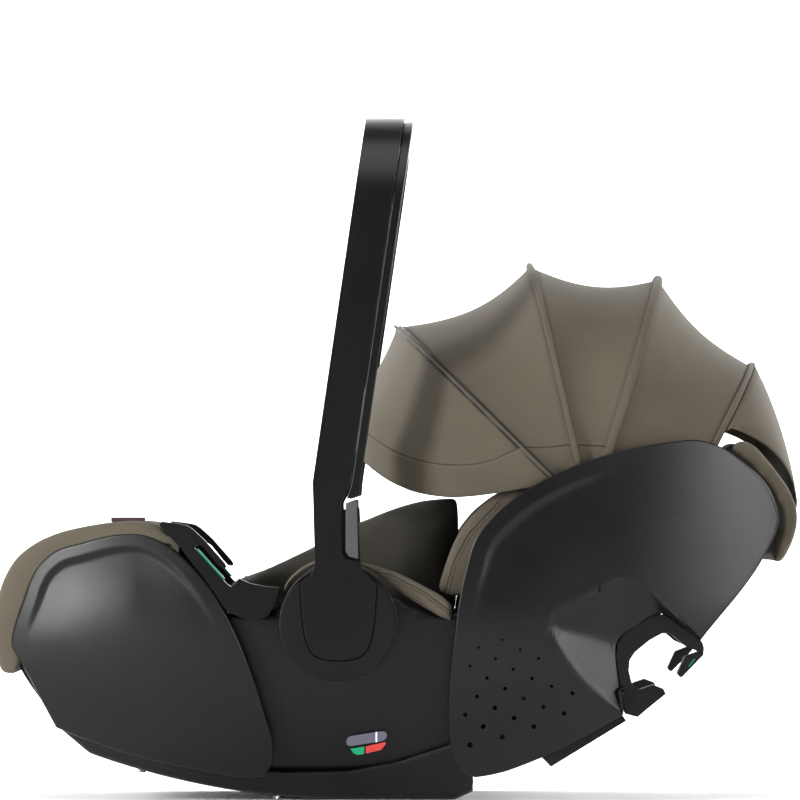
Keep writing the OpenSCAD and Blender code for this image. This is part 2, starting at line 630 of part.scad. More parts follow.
module back_shell() {
    color([0.13, 0.13, 0.14])
    difference() {
        union() {
            both_sides() {
                side_piece(path(back_side), back_wall_in, back_wall_in + shell_wall);
                across(recline_axis, recline_boss_r - 1, -skin_y(recline_axis[0], recline_axis[1],
                    back_wall_in + 0.2),
                    -skin_y(recline_axis[0], recline_axis[1], back_wall_in + shell_wall + 1));
                skid_y = skin_y(150 * kx, 50 * kz, cover_wall + 7);
                for (points = [skid, skid_web]) slab(path(points), -skid_y, -skid_y + 5);
            }
            full_piece(back_plate, back_wall_in + shell_wall / 2);
            lever_lugs();
        }
        across(recline_axis, recline_pin_r + pin_gap, -cut, cut);
    }
}
module recline_pins() {
    color([0.70, 0.71, 0.73])
    both_sides() across(recline_axis, recline_pin_r, -skin_y(recline_axis[0], recline_axis[1],
        cover_wall + 5),
        -skin_y(recline_axis[0], recline_axis[1], back_wall_in + shell_wall + 4));
}
module back_foam() {
    color([0.85, 0.85, 0.83])
    both_sides() side_piece(path([[100, 92], [122, 91], [150, 111], [245, 184], [294, 224], [280, 252],
        [240, 270], [180, 260],
        [130, 244], [104, 224], [98, 190]]), foam_in, foam_in + foam_wall);
}
pad_rise = shell_wall + 1;
function back_layer(h) = concat([for (a = [-82:8:arc_end]) on_arc(arc_r - h, a)],
    [back_line[0] + h * [-0.62, 0.79], at([290, 212]) + h * [-0.62, 0.79]]);
module back_pad() {
    color([0.26, 0.25, 0.21])
    slab(concat(back_layer(pad_rise), let (top = back_layer(pad_rise
        + pad_wall)) [for (i = [len(top) - 1:-1:0]) top[i]]),
        -bolster_in + 1, bolster_in - 1);
}
module wing_pads() {
    color([0.34, 0.33, 0.27])
    both_sides() slab(path([[28.2, 173], [33.6, 186], [37.7, 199], [45, 218], [61, 239.5], [75, 250.8],
        [86, 257.5], [100, 263.5],
        [112, 267.5], [118, 262], [108, 248], [94, 230], [84, 200], [76, 172], [56, 168], [40, 166]]),
            -skin_y(60 * kx, 200 * kz, foam_in),
        -skin_y(60 * kx, 200 * kz, 48));
}
head_roll = [[268, 292], [279, 297.6], [289.8, 291.8], [302.3, 277.5], [317.9, 256.9], [325, 241.5],
    [326.5, 230],
    [324, 216], [317.9, 202], [311.6, 189], [304, 194], [308, 206], [311, 218], [313, 230], [311, 240],
    [305, 252], [294, 266], [278, 280], [266, 287]];
module head_cover() {
    color([0.36, 0.34, 0.28])
    full_piece(path(head_roll), cover_wall + 1);
}
lever_dir = [0.777, 0.629];
lever_out = [0.629, -0.777];
lever_pivot = at([276, 200]) + 17 * lever_out;
lever_pin_r = 2;
module release_lever() {
    color([0.30, 0.30, 0.31])
    difference() {
        union() {
            slab([for (p = [[5, -3], [5, 3], [-52, 3], [-56, -1], [-52,
                -3]]) lever_pivot + p[0] * lever_dir + p[1] * lever_out], -34, 34);
            across(lever_pivot, 5, -40, 40);
        }
        across(lever_pivot, lever_pin_r + pin_gap, -50, 50);
    }
}
module lever_pin() {
    color([0.70, 0.71, 0.73]) across(lever_pivot, lever_pin_r, -45.8, 45.8);
}
module lever_lugs() {
    both_sides() difference() {
        slab([for (p = [[5, 5], [-5, 5], [-8, -17], [8, -17]]) lever_pivot
            + p[0] * lever_dir + p[1] * lever_out], -46, -41);
        across(lever_pivot, lever_pin_r + pin_gap, -50, 50);
    }
}

// ---------- harness and headrest on the backrest ----------

rest_foot_point = at([190, 133]);
function on_back(s, h) = rest_foot_point + s * [0.787, 0.617] + h * [-0.617, 0.787];
head_low = pad_rise + pad_wall + 2;
module headrest_shell() {
    color([0.16, 0.16, 0.17])
    union() {
        slab([on_back(-62, head_low), on_back(62, head_low), on_back(62, head_low + 5), on_back(-62,
            head_low + 5)], -100, 100);
        both_sides() slab([on_back(-62, head_low), on_back(62, head_low), on_back(66, head_low + 40),
            on_back(50, head_low + 66), on_back(-34, head_low + 66), on_back(-62, head_low + 30)], -105,
                -100);
    }
}
module headrest_pad() {
    color([0.30, 0.29, 0.24])
    union() {
        slab([on_back(-60, head_low + 5.5), on_back(60, head_low + 5.5), on_back(60, head_low + 20),
            on_back(-60, head_low + 20)], -82, 82);
        both_sides() slab([on_back(-60, head_low + 5.5), on_back(60, head_low + 5.5), on_back(64,
            head_low + 42),
            on_back(50, head_low + 70), on_back(-36, head_low + 70), on_back(-60, head_low + 32)],
                -99.5, -82);
    }
}
strap_from = on_back(-67, head_low + 8);
strap_to = [buckle_x, pad_top(buckle_x)] + 86 * [sin(buckle_tilt), cos(buckle_tilt)];
function on_strap(t, h) = let (d = strap_to - strap_from, n = d / norm(d)) strap_from
    + t * d + h * [n[1], -n[0]];
strap_in = 21;
module harness_straps() {
    color([0.12, 0.12, 0.12])
    both_sides() slab([on_strap(0, 0), on_strap(0, webbing_wall), on_strap(1, webbing_wall), on_strap(1,
        0)],
        -strap_in - webbing, -strap_in);
}
module shoulder_pads() {
    color([0.20, 0.20, 0.17])
    both_sides() slab([on_strap(0.05, webbing_wall + 0.3), on_strap(0.05, webbing_wall + 7),
        on_strap(0.55, webbing_wall + 7),
        on_strap(0.55, webbing_wall + 0.3)], -strap_in - webbing - 8, -strap_in + 8);
}

// ---------- canopy ----------

// Side-view place of each bow's top; the legs run straight to the shared pivot.
bow_tops = [[-1.7, 390.6], [108.9, 440.8], [215.2, 430]];
hoop_foot = at([236, 250]);
hoop_top = at([292, 358]);
arch_power = 2.6;
arch_steps = 9;
function leg_y(i) = skin_y(canopy_axis[0], canopy_axis[1], bow_layer + bow_wall / 2 + i * bow_pitch);
// Points over an arch of width w from its foot to its top: [height share, y].
function arch(w, low) = [for (k = [0:arch_steps]) let (a = 90 * k / arch_steps)
    [low + (1 - low) * pow(sin(a), 2 / arch_power), -w * pow(cos(a), 2 / arch_power)]];
function whole(half) = concat(half, [for (k = [len(half) - 2:-1:0]) [half[k][0], -half[k][1]]]);
function in_plane(foot, top, share, y) = let (p = foot + (top - foot) * share) [p[0], y, p[1]];
bow_low = 0.42;
function bow_line(i, start) = [for (q = whole(concat([[start, -leg_y(i)]], arch(leg_y(i), bow_low))))
    in_plane(canopy_axis, at(bow_tops[i]), q[0], q[1])];
hoop_y = skin_y(262 * kx, 293 * kz, cover_wall + 2.5);
function hoop_line() = [for (q = whole(arch(hoop_y, 0))) in_plane(hoop_foot, hoop_top, q[0], q[1])];
// A flat bar swept along a line that lies in a plane across the seat.
module bow_bar(line, along) {
    w = bow_width / 2 * along;
    n = len(line);
    function out_of(i) = let (a = line[max(0, i - 1)], b = line[min(n - 1, i + 1)],
        t = (b - a) / norm(b - a),
        c = cross([along[0], along[1], along[2]], t)) c / norm(c);
    half = bow_wall / 2;
    between_grids([for (i = [0:n - 1]) [line[i] - w - half * out_of(i), line[i] + w - half * out_of(i)]],
                  [for (i = [0:n - 1]) [line[i] - w + half * out_of(i), line[i] + w + half * out_of(i)]]);
}
function sweep_dir(i) = let (d = at(bow_tops[i]) - canopy_axis, n = d / norm(d)) [-n[1], 0, n[0]];
module canopy_bow(i) {
    color([0.12, 0.12, 0.12])
    difference() {
        union() {
            bow_bar(bow_line(i, 0.03), sweep_dir(i));
            both_sides() across(canopy_axis, 9, -leg_y(i) - bow_wall / 2, -leg_y(i) + bow_wall / 2);
        }
        across(canopy_axis, 3.05, -cut, cut);
    }
}
module canopy_bow_front() { canopy_bow(0); }
module canopy_bow_middle() { canopy_bow(1); }
module canopy_bow_rear() { canopy_bow(2); }
module canopy_hoop() {
    color([0.12, 0.12, 0.12]) bow_bar(hoop_line(), let (d = hoop_top - hoop_foot,
        n = d / norm(d)) [-n[1], 0, n[0]]);
}
module canopy_pivot_pins() {
    color([0.70, 0.71, 0.73])
    both_sides() across(canopy_axis, 3, -leg_y(0) - bow_wall / 2 - 0.6,
        -skin_y(canopy_axis[0], canopy_axis[1], back_wall_in) - 0.2);
}
// Fabric between two lines with the same number of points, pulled in between them.
panel_cells = 4;
function blend_line(a, b, w, centre, depth, gap) = [for (k = [0:len(a) - 1])
    let (m = min(0.3, gap / norm(a[k] - b[k])), f = m + (1 - 2 * m) * w, p = a[k] * (1 - f) + b[k] * f,
    v = p - centre, pull = depth * 4 * w * (1 - w)) p - pull * v / norm(v)];
fabric_gap = 0.6;
function fabric_lines(a, b, centre, depth, gap = fabric_gap) = [for (i = [0:panel_cells])
    blend_line(a, b, i / panel_cells, centre, depth, gap)];
fabric_in = bow_wall / 2 + 0.4;
module fabric(lines, centre) {
    function sunk(line, by) = [for (p = line) p - by * (p - centre) / norm(p - centre)];
    between_grids([for (l = lines) sunk(l, fabric_in + fabric_wall)], [for (l = lines) sunk(l, fabric_in)]);
}
module fabric_between(a, b, centre, depth = scallop) {
    fabric(fabric_lines(a, b, centre, depth), centre);
}
canopy_centre = [canopy_axis[0], 0, canopy_axis[1] + 20];
function hem_line(i) = bow_line(i, hem_r / norm(at(bow_tops[i]) - canopy_axis));
// The rear panel's lower corners stop behind the top edge of the rear covers.
hoop_hem_foot = at([226, 254]);
function hoop_hem() = let (h = hoop_line(), foot = [hoop_hem_foot[0], hoop_y, hoop_hem_foot[1]])
    concat([[foot[0], -foot[1], foot[2]]], h, [foot]);
module canopy_panel_front() {
    color([0.36, 0.34, 0.28]) fabric_between(hem_line(1), hem_line(0), canopy_centre);
}
module canopy_panel_middle() {
    color([0.36, 0.34, 0.28]) fabric_between(hem_line(2), hem_line(1), canopy_centre);
}
module canopy_panel_rear() {
    color([0.36, 0.34, 0.28]) fabric(fabric_lines(hoop_hem(), hem_line(2), canopy_centre, 5, 5),
        canopy_centre);
}
// Front rim of the visor, from the bow's foot round over the middle.
rim_side = [[103, 274, 1], [70.4, 277, 0.99], [42.6, 275, 0.97], [13.1, 279.4, 0.92], [-9.8, 289.7, 0.82],
    [-26.5, 302.5, 0.66], [-35, 311, 0.48], [-40, 317, 0.28], [-42, 319.4, 0.12], [-42.4, 320, 0.04]];
visor_depth = 26;
function rim_line(drop) = let (w = leg_y(0), half = concat([for (p = rim_side) [p[0] * kx, -w * p[2],
    (p[1] - drop * min(1, (130 - p[0]) / 55)) * kz]],
    [[-42.5 * kx, 0, (320 - drop) * kz]])) concat(half, [for (k = [len(half) - 2:-1:0]) [half[k][0],
        -half[k][1], half[k][2]]]);
module canopy_visor() {
    color([0.36, 0.34, 0.28]) fabric(concat(fabric_lines(hem_line(0), rim_line(0), canopy_centre, 3),
        [rim_line(visor_depth * 0.5), rim_line(visor_depth)]), canopy_centre);
}
skirt_low = at([331, 240]);
skirt_side = at([277, 312]);
skirt_from = 3;
skirt_flare = 11;
module canopy_skirt() {
    hoop = hoop_line();
    top = [for (k = [skirt_from:len(hoop) - 1 - skirt_from]) hoop[k] + [5, 0, 1]];
    n = len(top) - 1;
    low = [for (k = [0:n]) let (t = 2 * k / n - 1, s = pow(abs(t), 2.2),
        p = skirt_low + (skirt_side - skirt_low) * s)
        [p[0] + skirt_flare * 4 * s * (1 - s), top[k][1], p[1] + skirt_flare * 3.2 * s * (1 - s)]];
    color([0.38, 0.36, 0.30]) fabric_between(low, top, [canopy_axis[0], 0, canopy_axis[1]], -6);
}

base_shell();
seat_shell();
front_cover_left();
front_cover_right();
lap_belt_guides();
lap_slot_markers();
hub_sockets();
handle_pivot_pins();
level_vials();
level_marks_green();
level_marks_red();
docking_bars();
seat_foam();
harness_adjuster();
adjuster_button();
adjuster_strap();
crotch_strap();
crotch_pad();
buckle_body();
buckle_button();
buckle_tongues();
foot_cover();
label_tab();
side_rolls();
seat_pad();
side_bolsters();
base_screws();
back_shell();
rear_cover_left();
rear_cover_right();
shoulder_belt_guides();
guide_inlays();
recline_pins();
back_foam();
back_pad();
wing_pads();
head_cover();
canopy_hoop();
canopy_skirt();
canopy_pivot_pins();
release_lever();
lever_pin();
harness_straps();
headrest_shell();
headrest_pad();
shoulder_pads();
canopy_bow_front();
canopy_bow_middle();
canopy_bow_rear();
canopy_visor();
canopy_panel_front();
canopy_panel_middle();
canopy_panel_rear();
handle_frame();
handle_strip();
hub_caps();
handle_button_left();
handle_button_right();
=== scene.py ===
import math

import bmesh
import bpy
import numpy as np
from mathutils import Matrix, Vector


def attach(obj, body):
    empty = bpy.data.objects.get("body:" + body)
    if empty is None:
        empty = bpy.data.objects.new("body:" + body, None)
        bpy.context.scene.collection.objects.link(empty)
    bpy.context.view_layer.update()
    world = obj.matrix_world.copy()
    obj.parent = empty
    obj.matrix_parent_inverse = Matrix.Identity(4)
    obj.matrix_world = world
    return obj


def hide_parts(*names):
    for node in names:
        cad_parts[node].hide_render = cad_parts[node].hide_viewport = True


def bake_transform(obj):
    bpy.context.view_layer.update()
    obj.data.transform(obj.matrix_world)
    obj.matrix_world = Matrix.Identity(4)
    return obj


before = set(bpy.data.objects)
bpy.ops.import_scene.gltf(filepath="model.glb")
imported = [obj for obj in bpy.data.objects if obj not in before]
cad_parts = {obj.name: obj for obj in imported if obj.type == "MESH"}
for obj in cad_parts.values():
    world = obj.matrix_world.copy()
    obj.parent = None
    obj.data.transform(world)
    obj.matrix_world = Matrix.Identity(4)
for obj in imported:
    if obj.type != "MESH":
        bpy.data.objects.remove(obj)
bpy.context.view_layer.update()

# ---------------------------------------------------------------- rocker base
# One injection-moulded tub of black polypropylene that the seat stands and rocks on.
# Its flanks rise behind the side covers, and two slots in its floor open onto the docking bars.
MM = 0.001


def skin(x, z, depth=0.0):
    """Half width of the seat's outer skin at a place in the side view, less a depth, in mm."""
    plan = 206 - 56 * np.maximum(0, (-100 - x) / 221) ** 2 - 40 * np.maximum(0, (x - 120) / 192) ** 2
    tuck = 42 * np.maximum(0, (170 - z) / 150) ** 2 + 4 * np.maximum(0, (z - 170) / 130) ** 2
    return plan - tuck - depth


def surface(bm, rows, inside=(0, 0, 200)):
    """Adds a sheet whose corners lie at rows[v][u], in mm, with its faces turned away from inside."""
    rows = np.asarray(rows, float)
    nv, nu = rows.shape[0] - 1, rows.shape[1] - 1
    bm.loops.layers.uv.verify()
    made = bmesh.ops.create_grid(bm, x_segments=nu, y_segments=nv, size=0.5, calc_uvs=True)["verts"]
    for v in made:
        v.co = rows[round((v.co.y + 0.5) * nv), round((v.co.x + 0.5) * nu)] * MM
    faces = list({f for v in made for f in v.link_faces})
    centre = Vector(inside) * MM
    for f in faces:
        f.normal_update()
    if sum(f.normal.dot(f.calc_center_median() - centre) * f.calc_area() for f in faces) < 0:
        bmesh.ops.reverse_faces(bm, faces=faces)
    return made


def both_sides(bm):
    """Adds the mirror image of everything so far on the other side of the seat."""
    copy = bmesh.ops.duplicate(bm, geom=bm.verts[:] + bm.edges[:] + bm.faces[:])["geom"]
    bmesh.ops.scale(bm, vec=(1, -1, 1), verts=[g for g in copy if isinstance(g, bmesh.types.BMVert)])
    bmesh.ops.reverse_faces(bm, faces=[g for g in copy if isinstance(g, bmesh.types.BMFace)])


def piece(name, bm, finish, body, replaced=(), wall=0.0, sharp=38, closed=False):
    """Turns a bmesh into a finished piece that rides on a body."""
    bmesh.ops.remove_doubles(bm, verts=bm.verts, dist=0.01 * MM)
    bmesh.ops.dissolve_degenerate(bm, dist=0.005 * MM, edges=bm.edges)
    if closed:
        bmesh.ops.recalc_face_normals(bm, faces=bm.faces)
    mesh = bpy.data.meshes.new(name)
    bm.to_mesh(mesh)
    bm.free()
    mesh.polygons.foreach_set("use_smooth", [True] * len(mesh.polygons))
    mesh.set_sharp_from_angle(angle=math.radians(sharp))
    mesh.materials.append(finish)
    obj = bpy.data.objects.new(name, mesh)
    bpy.context.scene.collection.objects.link(obj)
    if wall:
        thick = obj.modifiers.new("wall", "SOLIDIFY")
        thick.thickness = wall * MM
        thick.offset = -1
    if replaced:
        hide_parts(*replaced)
    if body:
        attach(obj, body)
    return obj


class Shade:
    """A shader socket that adds its own Math nodes."""

    def __init__(self, tree, socket=None):
        self.tree, self.socket = tree, socket

    def node(self, kind, out, values=(), **settings):
        made = self.tree.nodes.new(kind)
        for name, value in settings.items():
            if name == "stops":
                for k, (at, colour) in enumerate(value):
                    stop = made.color_ramp.elements[k] if k < 2 else made.color_ramp.elements.new(at)
                    stop.position, stop.color = at, (*colour, 1)
            else:
                setattr(made, name, value)
        for name, value in dict(values).items():
            if isinstance(value, Shade):
                self.tree.links.new(value.socket, made.inputs[name])
            else:
                made.inputs[name].default_value = value
        return Shade(self.tree, made.outputs[out])

    def math(self, operation, a, b=0.0):
        return self.node("ShaderNodeMath", 0, {0: a, 1: b}, operation=operation)

    def __add__(self, other): return self.math("ADD", self, other)
    def __sub__(self, other): return self.math("SUBTRACT", self, other)
    def __mul__(self, other): return self.math("MULTIPLY", self, other)
    def __rsub__(self, other): return self.math("SUBTRACT", other, self)
    __radd__, __rmul__ = __add__, __mul__

    def within(self, low, high):
        """1 where this is above high and 0 where it is below low."""
        return self.node("ShaderNodeMapRange", 0, {0: self, 1: low, 2: high}, interpolation_type="SMOOTHSTEP")


def new_finish(name, **constants):
    """A material with its shader's constant sockets set, its shader, and a place to build from."""
    made = bpy.data.materials.new(name)
    made.use_nodes = True
    shader = made.node_tree.nodes["Principled BSDF"]
    for socket, value in constants.items():
        shader.inputs[socket.replace("_", " ")].default_value = value
    return made, shader, Shade(made.node_tree)


def feed(shader, start, **sockets):
    for name, value in sockets.items():
        start.tree.links.new(value.socket, shader.inputs[name.replace("_", " ")])


def mixed(start, mask, first, second):
    """A colour that goes from first to second with a mask."""
    return start.node("ShaderNodeMix", 2, {0: mask, 6: (*first, 1), 7: (*second, 1)}, data_type="RGBA")


def grained_plastic(name, dark, light, rough, grain=0.00006):
    """Moulded plastic with a fine spark-eroded grain and a faint unevenness in its gloss."""
    made, shader, start = new_finish(name, Specular_IOR_Level=0.27)
    at = start.node("ShaderNodeTexCoord", "Object")
    fine = start.node("ShaderNodeTexNoise", 0, {"Vector": at, "Scale": 1500.0, "Detail": 1.0})
    broad = start.node("ShaderNodeTexNoise", 0, {"Vector": at, "Scale": 14.0, "Detail": 3.0})
    bump = start.node("ShaderNodeBump", 0, {"Height": fine, "Distance": grain, "Strength": 0.8})
    feed(shader, start, Base_Color=mixed(start, broad.within(0.3, 0.7), dark, light),
         Roughness=(broad - 0.5) * 0.10 + (fine - 0.5) * 0.12 + rough, Normal=bump)
    return made


shell_plastic = grained_plastic("shell_plastic", (0.0022, 0.0022, 0.0023), (0.0032, 0.0032, 0.0033), 0.42)


def rocker_z(x):
    """Height of the rocker's underside."""
    x = np.asarray(x, float)
    foot = 660 - np.sqrt(660 ** 2 - np.minimum(0, x + 35) ** 2)
    return foot + np.maximum(0, x - 45) * 7 / 15


base_rim = [(-282, 63), (-268, 56), (-204, 39), (-124, 25), (-114, 20.5), (-91, 19), (-41, 20.5), (0, 28.7),
            (40, 42), (60, 50)]
stations = np.linspace(-281, 60, 94)
edge_turn = 9.0  # radius where the flanks turn into the floor
section = []
for x in stations:
    rim = np.interp(x, *zip(*base_rim)) + 3
    low = min(max(float(rocker_z(x)), 43 + 0.85 * (-262 - x)), rim - 4)
    height = max(rim - low, 6.0)
    turn = min(edge_turn, height * 0.6)
    side = [(x, -skin(x, z, 10.2), z) for z in np.linspace(rim, low + turn, 8)]
    foot_y = skin(x, low + turn, 10.2)
    arc = [(x, -(foot_y - turn * (1 - math.cos(a))), low + turn * (1 - math.sin(a)))
           for a in np.linspace(0.15, math.pi / 2, 8)]
    floor = [(x, y, low) for y in np.linspace(arc[-1][1], 0, 14)[1:]]
    near = side + arc + floor
    section.append(near + [(a, -b, c) for a, b, c in near[-2::-1]])
bm = bmesh.new()
surface(bm, section, inside=(-100, 0, 150))
# the two slots for the docking hooks, below the bars
bars = ((-185, 52), (25, 26))  # place along the seat and height of each bar's axis
slot_x, slot_y = 22, 75  # half sizes of a slot
planes = [((bar + side) * MM, 0, 0) for bar, axis in bars for side in (-slot_x, slot_x)]
planes += [(0, side * MM, 0) for side in (-slot_y, slot_y)]
for place in planes:
    bmesh.ops.bisect_plane(bm, geom=bm.verts[:] + bm.edges[:] + bm.faces[:], plane_co=place,
                           plane_no=(1, 0, 0) if place[1] == 0 else (0, 1, 0))
slots = [f for f in bm.faces for c in [f.calc_center_median() / MM]
         if abs(c.y) < slot_y and min(abs(c.x - bar) for bar, axis in bars) < slot_x]
bmesh.ops.delete(bm, geom=slots, context="FACES")
base = piece("base_tub", bm, shell_plastic, "carrier", ["base_shell"], wall=3.2)

# the ribs that carry the bars
bm = bmesh.new()
for bar, axis in bars:
    low = [float(rocker_z(bar - 16)) + 1, float(rocker_z(bar + 16)) + 1]
    outline = [(bar - 16, low[0]), (bar + 16, low[1]), (bar + 10, axis + 11), (bar - 10, axis + 11)]
    for y in (-103, 98):
        face = bm.faces.new([bm.verts.new(Vector((x, y, z)) * MM) for x, z in outline])
        top = bmesh.ops.extrude_face_region(bm, geom=[face])["geom"]
        bmesh.ops.translate(bm, vec=(0, 5 * MM, 0), verts=[g for g in top if isinstance(g, bmesh.types.BMVert)])
bmesh.ops.bevel(bm, geom=bm.edges[:], offset=0.8 * MM, segments=2, profile=0.5, affect="EDGES", material=-1)
piece("base_ribs", bm, shell_plastic, "carrier", closed=True)

# ------------------------------------------------- steel bars, pins and screws
# Bright drawn steel: the two docking bars, the pins of the hinges and the four screws under the base.
# They are pressed or screwed in, so their plain turned shape is all that shows.


def drawn_steel(name, colour, rough):
    made, shader, start = new_finish(name, Metallic=1.0)
    at = start.node("ShaderNodeTexCoord", "Object")
    along = start.node("ShaderNodeMapping", 0, {"Vector": at, "Scale": (900.0, 30.0, 900.0)})
    lines = start.node("ShaderNodeTexNoise", 0, {"Vector": along, "Scale": 1.0, "Detail": 3.0})
    feed(shader, start, Base_Color=mixed(start, lines, colour, [c * 0.8 for c in colour]),
         Roughness=lines * 0.25 + rough,
         Normal=start.node("ShaderNodeBump", 0, {"Height": lines, "Distance": 0.00002, "Strength": 0.5}))
    return made


def carried_over(node, finish):
    """A CAD node whose shape is right keeps its mesh and takes a finish."""
    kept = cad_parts[node]
    kept.data.materials.clear()
    kept.data.materials.append(finish)
    return kept


steel = drawn_steel("bright_steel", (0.60, 0.61, 0.63), 0.22)
for node in ("docking_bars", "base_screws", "handle_pivot_pins", "recline_pins", "canopy_pivot_pins",
             "lever_pin"):
    carried_over(node, steel)

# ------------------------------------------------------------------ seat shell
# The black tub the child sits in: two upright sides, a sloping floor and a foot wall, moulded in one.
# It is screwed down into the rocker base, and the handle hubs turn on its sides.


def flowing(points, count, corner=50, closed=True):
    """Points along a smooth line through the given ones. Turns sharper than corner degrees stay sharp."""
    p = np.asarray(points, float)
    n = len(p)
    last = n if closed else n - 1
    legs = [p[(i + 1) % n] - p[i] for i in range(last)]
    size = [np.linalg.norm(a) for a in legs]
    leave, arrive, hard = [None] * n, [None] * n, []
    for i in range(n):
        if not closed and i in (0, n - 1):
            leave[i] = arrive[i] = legs[0 if i == 0 else -1] / size[0 if i == 0 else -1]
            hard.append(i)
            continue
        a, b = legs[i - 1] / size[i - 1], legs[i % last] / size[i % last]
        if a @ b < math.cos(math.radians(corner)):
            arrive[i], leave[i] = a, b
            hard.append(i)
        else:
            t = a * size[i % last] + b * size[i - 1]
            arrive[i] = leave[i] = t / np.linalg.norm(t)
    s = np.linspace(0, 1, 13)[:-1, None]
    fine, knots = [], []
    for i in range(last):
        j = (i + 1) % n
        h = [2 * s ** 3 - 3 * s ** 2 + 1, s ** 3 - 2 * s ** 2 + s, -2 * s ** 3 + 3 * s ** 2, s ** 3 - s ** 2]
        knots.append(len(fine))
        fine.extend(h[0] * p[i] + h[1] * leave[i] * size[i] + h[2] * p[j] + h[3] * arrive[j] * size[i])
    fine.append(p[0] if closed else p[-1])
    fine = np.array(fine)
    run = np.concatenate([[0], np.cumsum(np.linalg.norm(np.diff(fine, axis=0), axis=1))])
    stops = sorted({0.0, run[-1]} | {run[knots[i]] for i in hard if i < len(knots)})
    wanted = [0.0]
    for a, b in zip(stops, stops[1:]):
        steps = max(2, round(count * (b - a) / run[-1]))
        wanted.extend(np.linspace(a, b, steps + 1)[1:])
    return np.stack([np.interp(wanted, run, fine[:, k]) for k in range(fine.shape[1])], axis=1)


def distance(points, line):
    """Distance of each point from a line of points, in mm."""
    flat = points.reshape(-1, 1, 2)
    a, b = line[None, :-1], line[None, 1:]
    along = b - a
    share = np.clip(((flat - a) * along).sum(-1) / np.maximum((along ** 2).sum(-1), 1e-9), 0, 1)
    return np.sqrt((((a + along * share[..., None]) - flat) ** 2).sum(-1)).min(1).reshape(points.shape[:-1])


def smooth(t):
    t = np.clip(t, 0, 1)
    return t * t * (3 - 2 * t)


RINGS = [0, 0.35, 0.9, 1.7, 2.6, 3.8, 5.2, 7, 9, 10.5, 12, 13.5, 15, 17, 20, 24, 29, 35]


def skin_panel(bm, outline, centre, depth, relief=None, lip=2.5, count=280, inner=18, corner=50):
    """A panel in the outer skin on the near side: rings of vertices run inwards from its outline."""
    line = flowing(outline, count, corner)
    ray = np.asarray(centre, float) - line
    reach = np.linalg.norm(ray, axis=1)
    rows = []
    for k in range(len(RINGS) + inner):
        inset = RINGS[k] if k < len(RINGS) else RINGS[-1] + (reach - RINGS[-1]) * (k - len(RINGS) + 1) / inner
        rows.append(line + ray * np.minimum(inset / reach, 1)[:, None])
    flat = np.array(rows)
    edge = distance(flat, line)
    sunk = np.where(edge < lip, lip - np.sqrt(np.maximum(lip ** 2 - (lip - np.minimum(edge, lip)) ** 2, 0)), 0)
    if relief:
        sunk = sunk + relief(flat, edge)
    y = -(skin(flat[..., 0], flat[..., 1]) - depth - sunk)
    surface(bm, np.stack([flat[..., 0], y, flat[..., 1]], axis=-1), inside=(0, 0, 150))
    return line


def cut_panel(bm, outline, depth, relief=None):
    """A panel in the skin on the near side, cut into a grid so that it follows the skin's curve."""
    step = 7.0
    line = flowing(outline, 200, corner=30)[:-1]
    bm.loops.layers.uv.verify()
    bm.faces.new([bm.verts.new(Vector((x, 0, z)) * MM) for x, z in line])
    for k, way in ((0, (1, 0, 0)), (1, (0, 0, 1))):
        for place in np.arange(line[:, k].min() + step, line[:, k].max(), step):
            bmesh.ops.bisect_plane(bm, geom=bm.verts[:] + bm.edges[:] + bm.faces[:], dist=1e-6,
                                   plane_co=Vector(way) * place * MM, plane_no=way)
    flat = np.array([(v.co.x, v.co.z) for v in bm.verts]) / MM
    edge = distance(flat, np.concatenate([line, line[:1]]))
    y = skin(flat[:, 0], flat[:, 1], depth) - (relief(flat, edge) if relief else 0)
    for v, half in zip(bm.verts, y):
        v.co.y = -half * MM
    bmesh.ops.triangulate(bm, faces=[f for f in bm.faces if len(f.verts) > 4])
    bmesh.ops.recalc_face_normals(bm, faces=bm.faces)
    if sum(f.normal.y * f.calc_area() for f in bm.faces) > 0:
        bmesh.ops.reverse_faces(bm, faces=bm.faces)


seat_side = [(-314, 113), (-316, 131), (-314, 154), (-306, 171), (-298, 186), (-289, 194), (-276, 200.5),
             (-255, 206), (-232, 209.5), (-215, 210), (-198, 206), (-170, 181), (-142, 154), (-118, 149),
             (-100, 159), (-85, 168), (-60, 180), (-19, 180), (5, 162), (36, 150), (60, 158), (75, 155),
             (90, 140), (100, 120), (100, 62), (60, 47), (40, 40), (0, 29), (-41, 24), (-91, 23), (-124, 26),
             (-204, 40), (-262, 57), (-279, 64),
             (-292, 86), (-304, 107)]


def seat_relief(at, edge):
    """Two soft upright creases fan out below the hub, and a step runs down behind it."""
    x, z = at[..., 0], at[..., 1]
    fade = smooth((150 - z) / 60) * smooth((z - 30) / 30)
    fold = x - (10 + (z - 60) * -0.32)
    behind = x - (-118 - (z - 60) * 0.35)
    return fade * (1.6 * smooth((fold + 2) / 10) - 1.6 * smooth((fold - 6) / 50) + 1.4 * smooth((6 - behind) / 12))


bm = bmesh.new()
cut_panel(bm, seat_side, 14.2, seat_relief)
both_sides(bm)
floor_line = flowing([(-313, 163), (-300, 164), (-200, 144), (-110, 103), (-50, 79), (0, 71), (50, 71)], 60,
                     closed=False)
wall_line = flowing([(-314, 158), (-319, 131), (-283, 62)], 24, closed=False)
for line, middle in ((floor_line, (-100, 0, 400)), (wall_line, (0, 0, 120))):
    surface(bm, [[(x, s * skin(x, z, 16), z) for s in np.linspace(-1, 1, 21)] for x, z in line], inside=middle)
piece("seat_tub", bm, shell_plastic, "carrier", ["seat_shell"], wall=3.2)

# ----------------------------------------------------------------- crash foam
# Expanded polystyrene blocks that line the shells behind the padding. They are glued in.


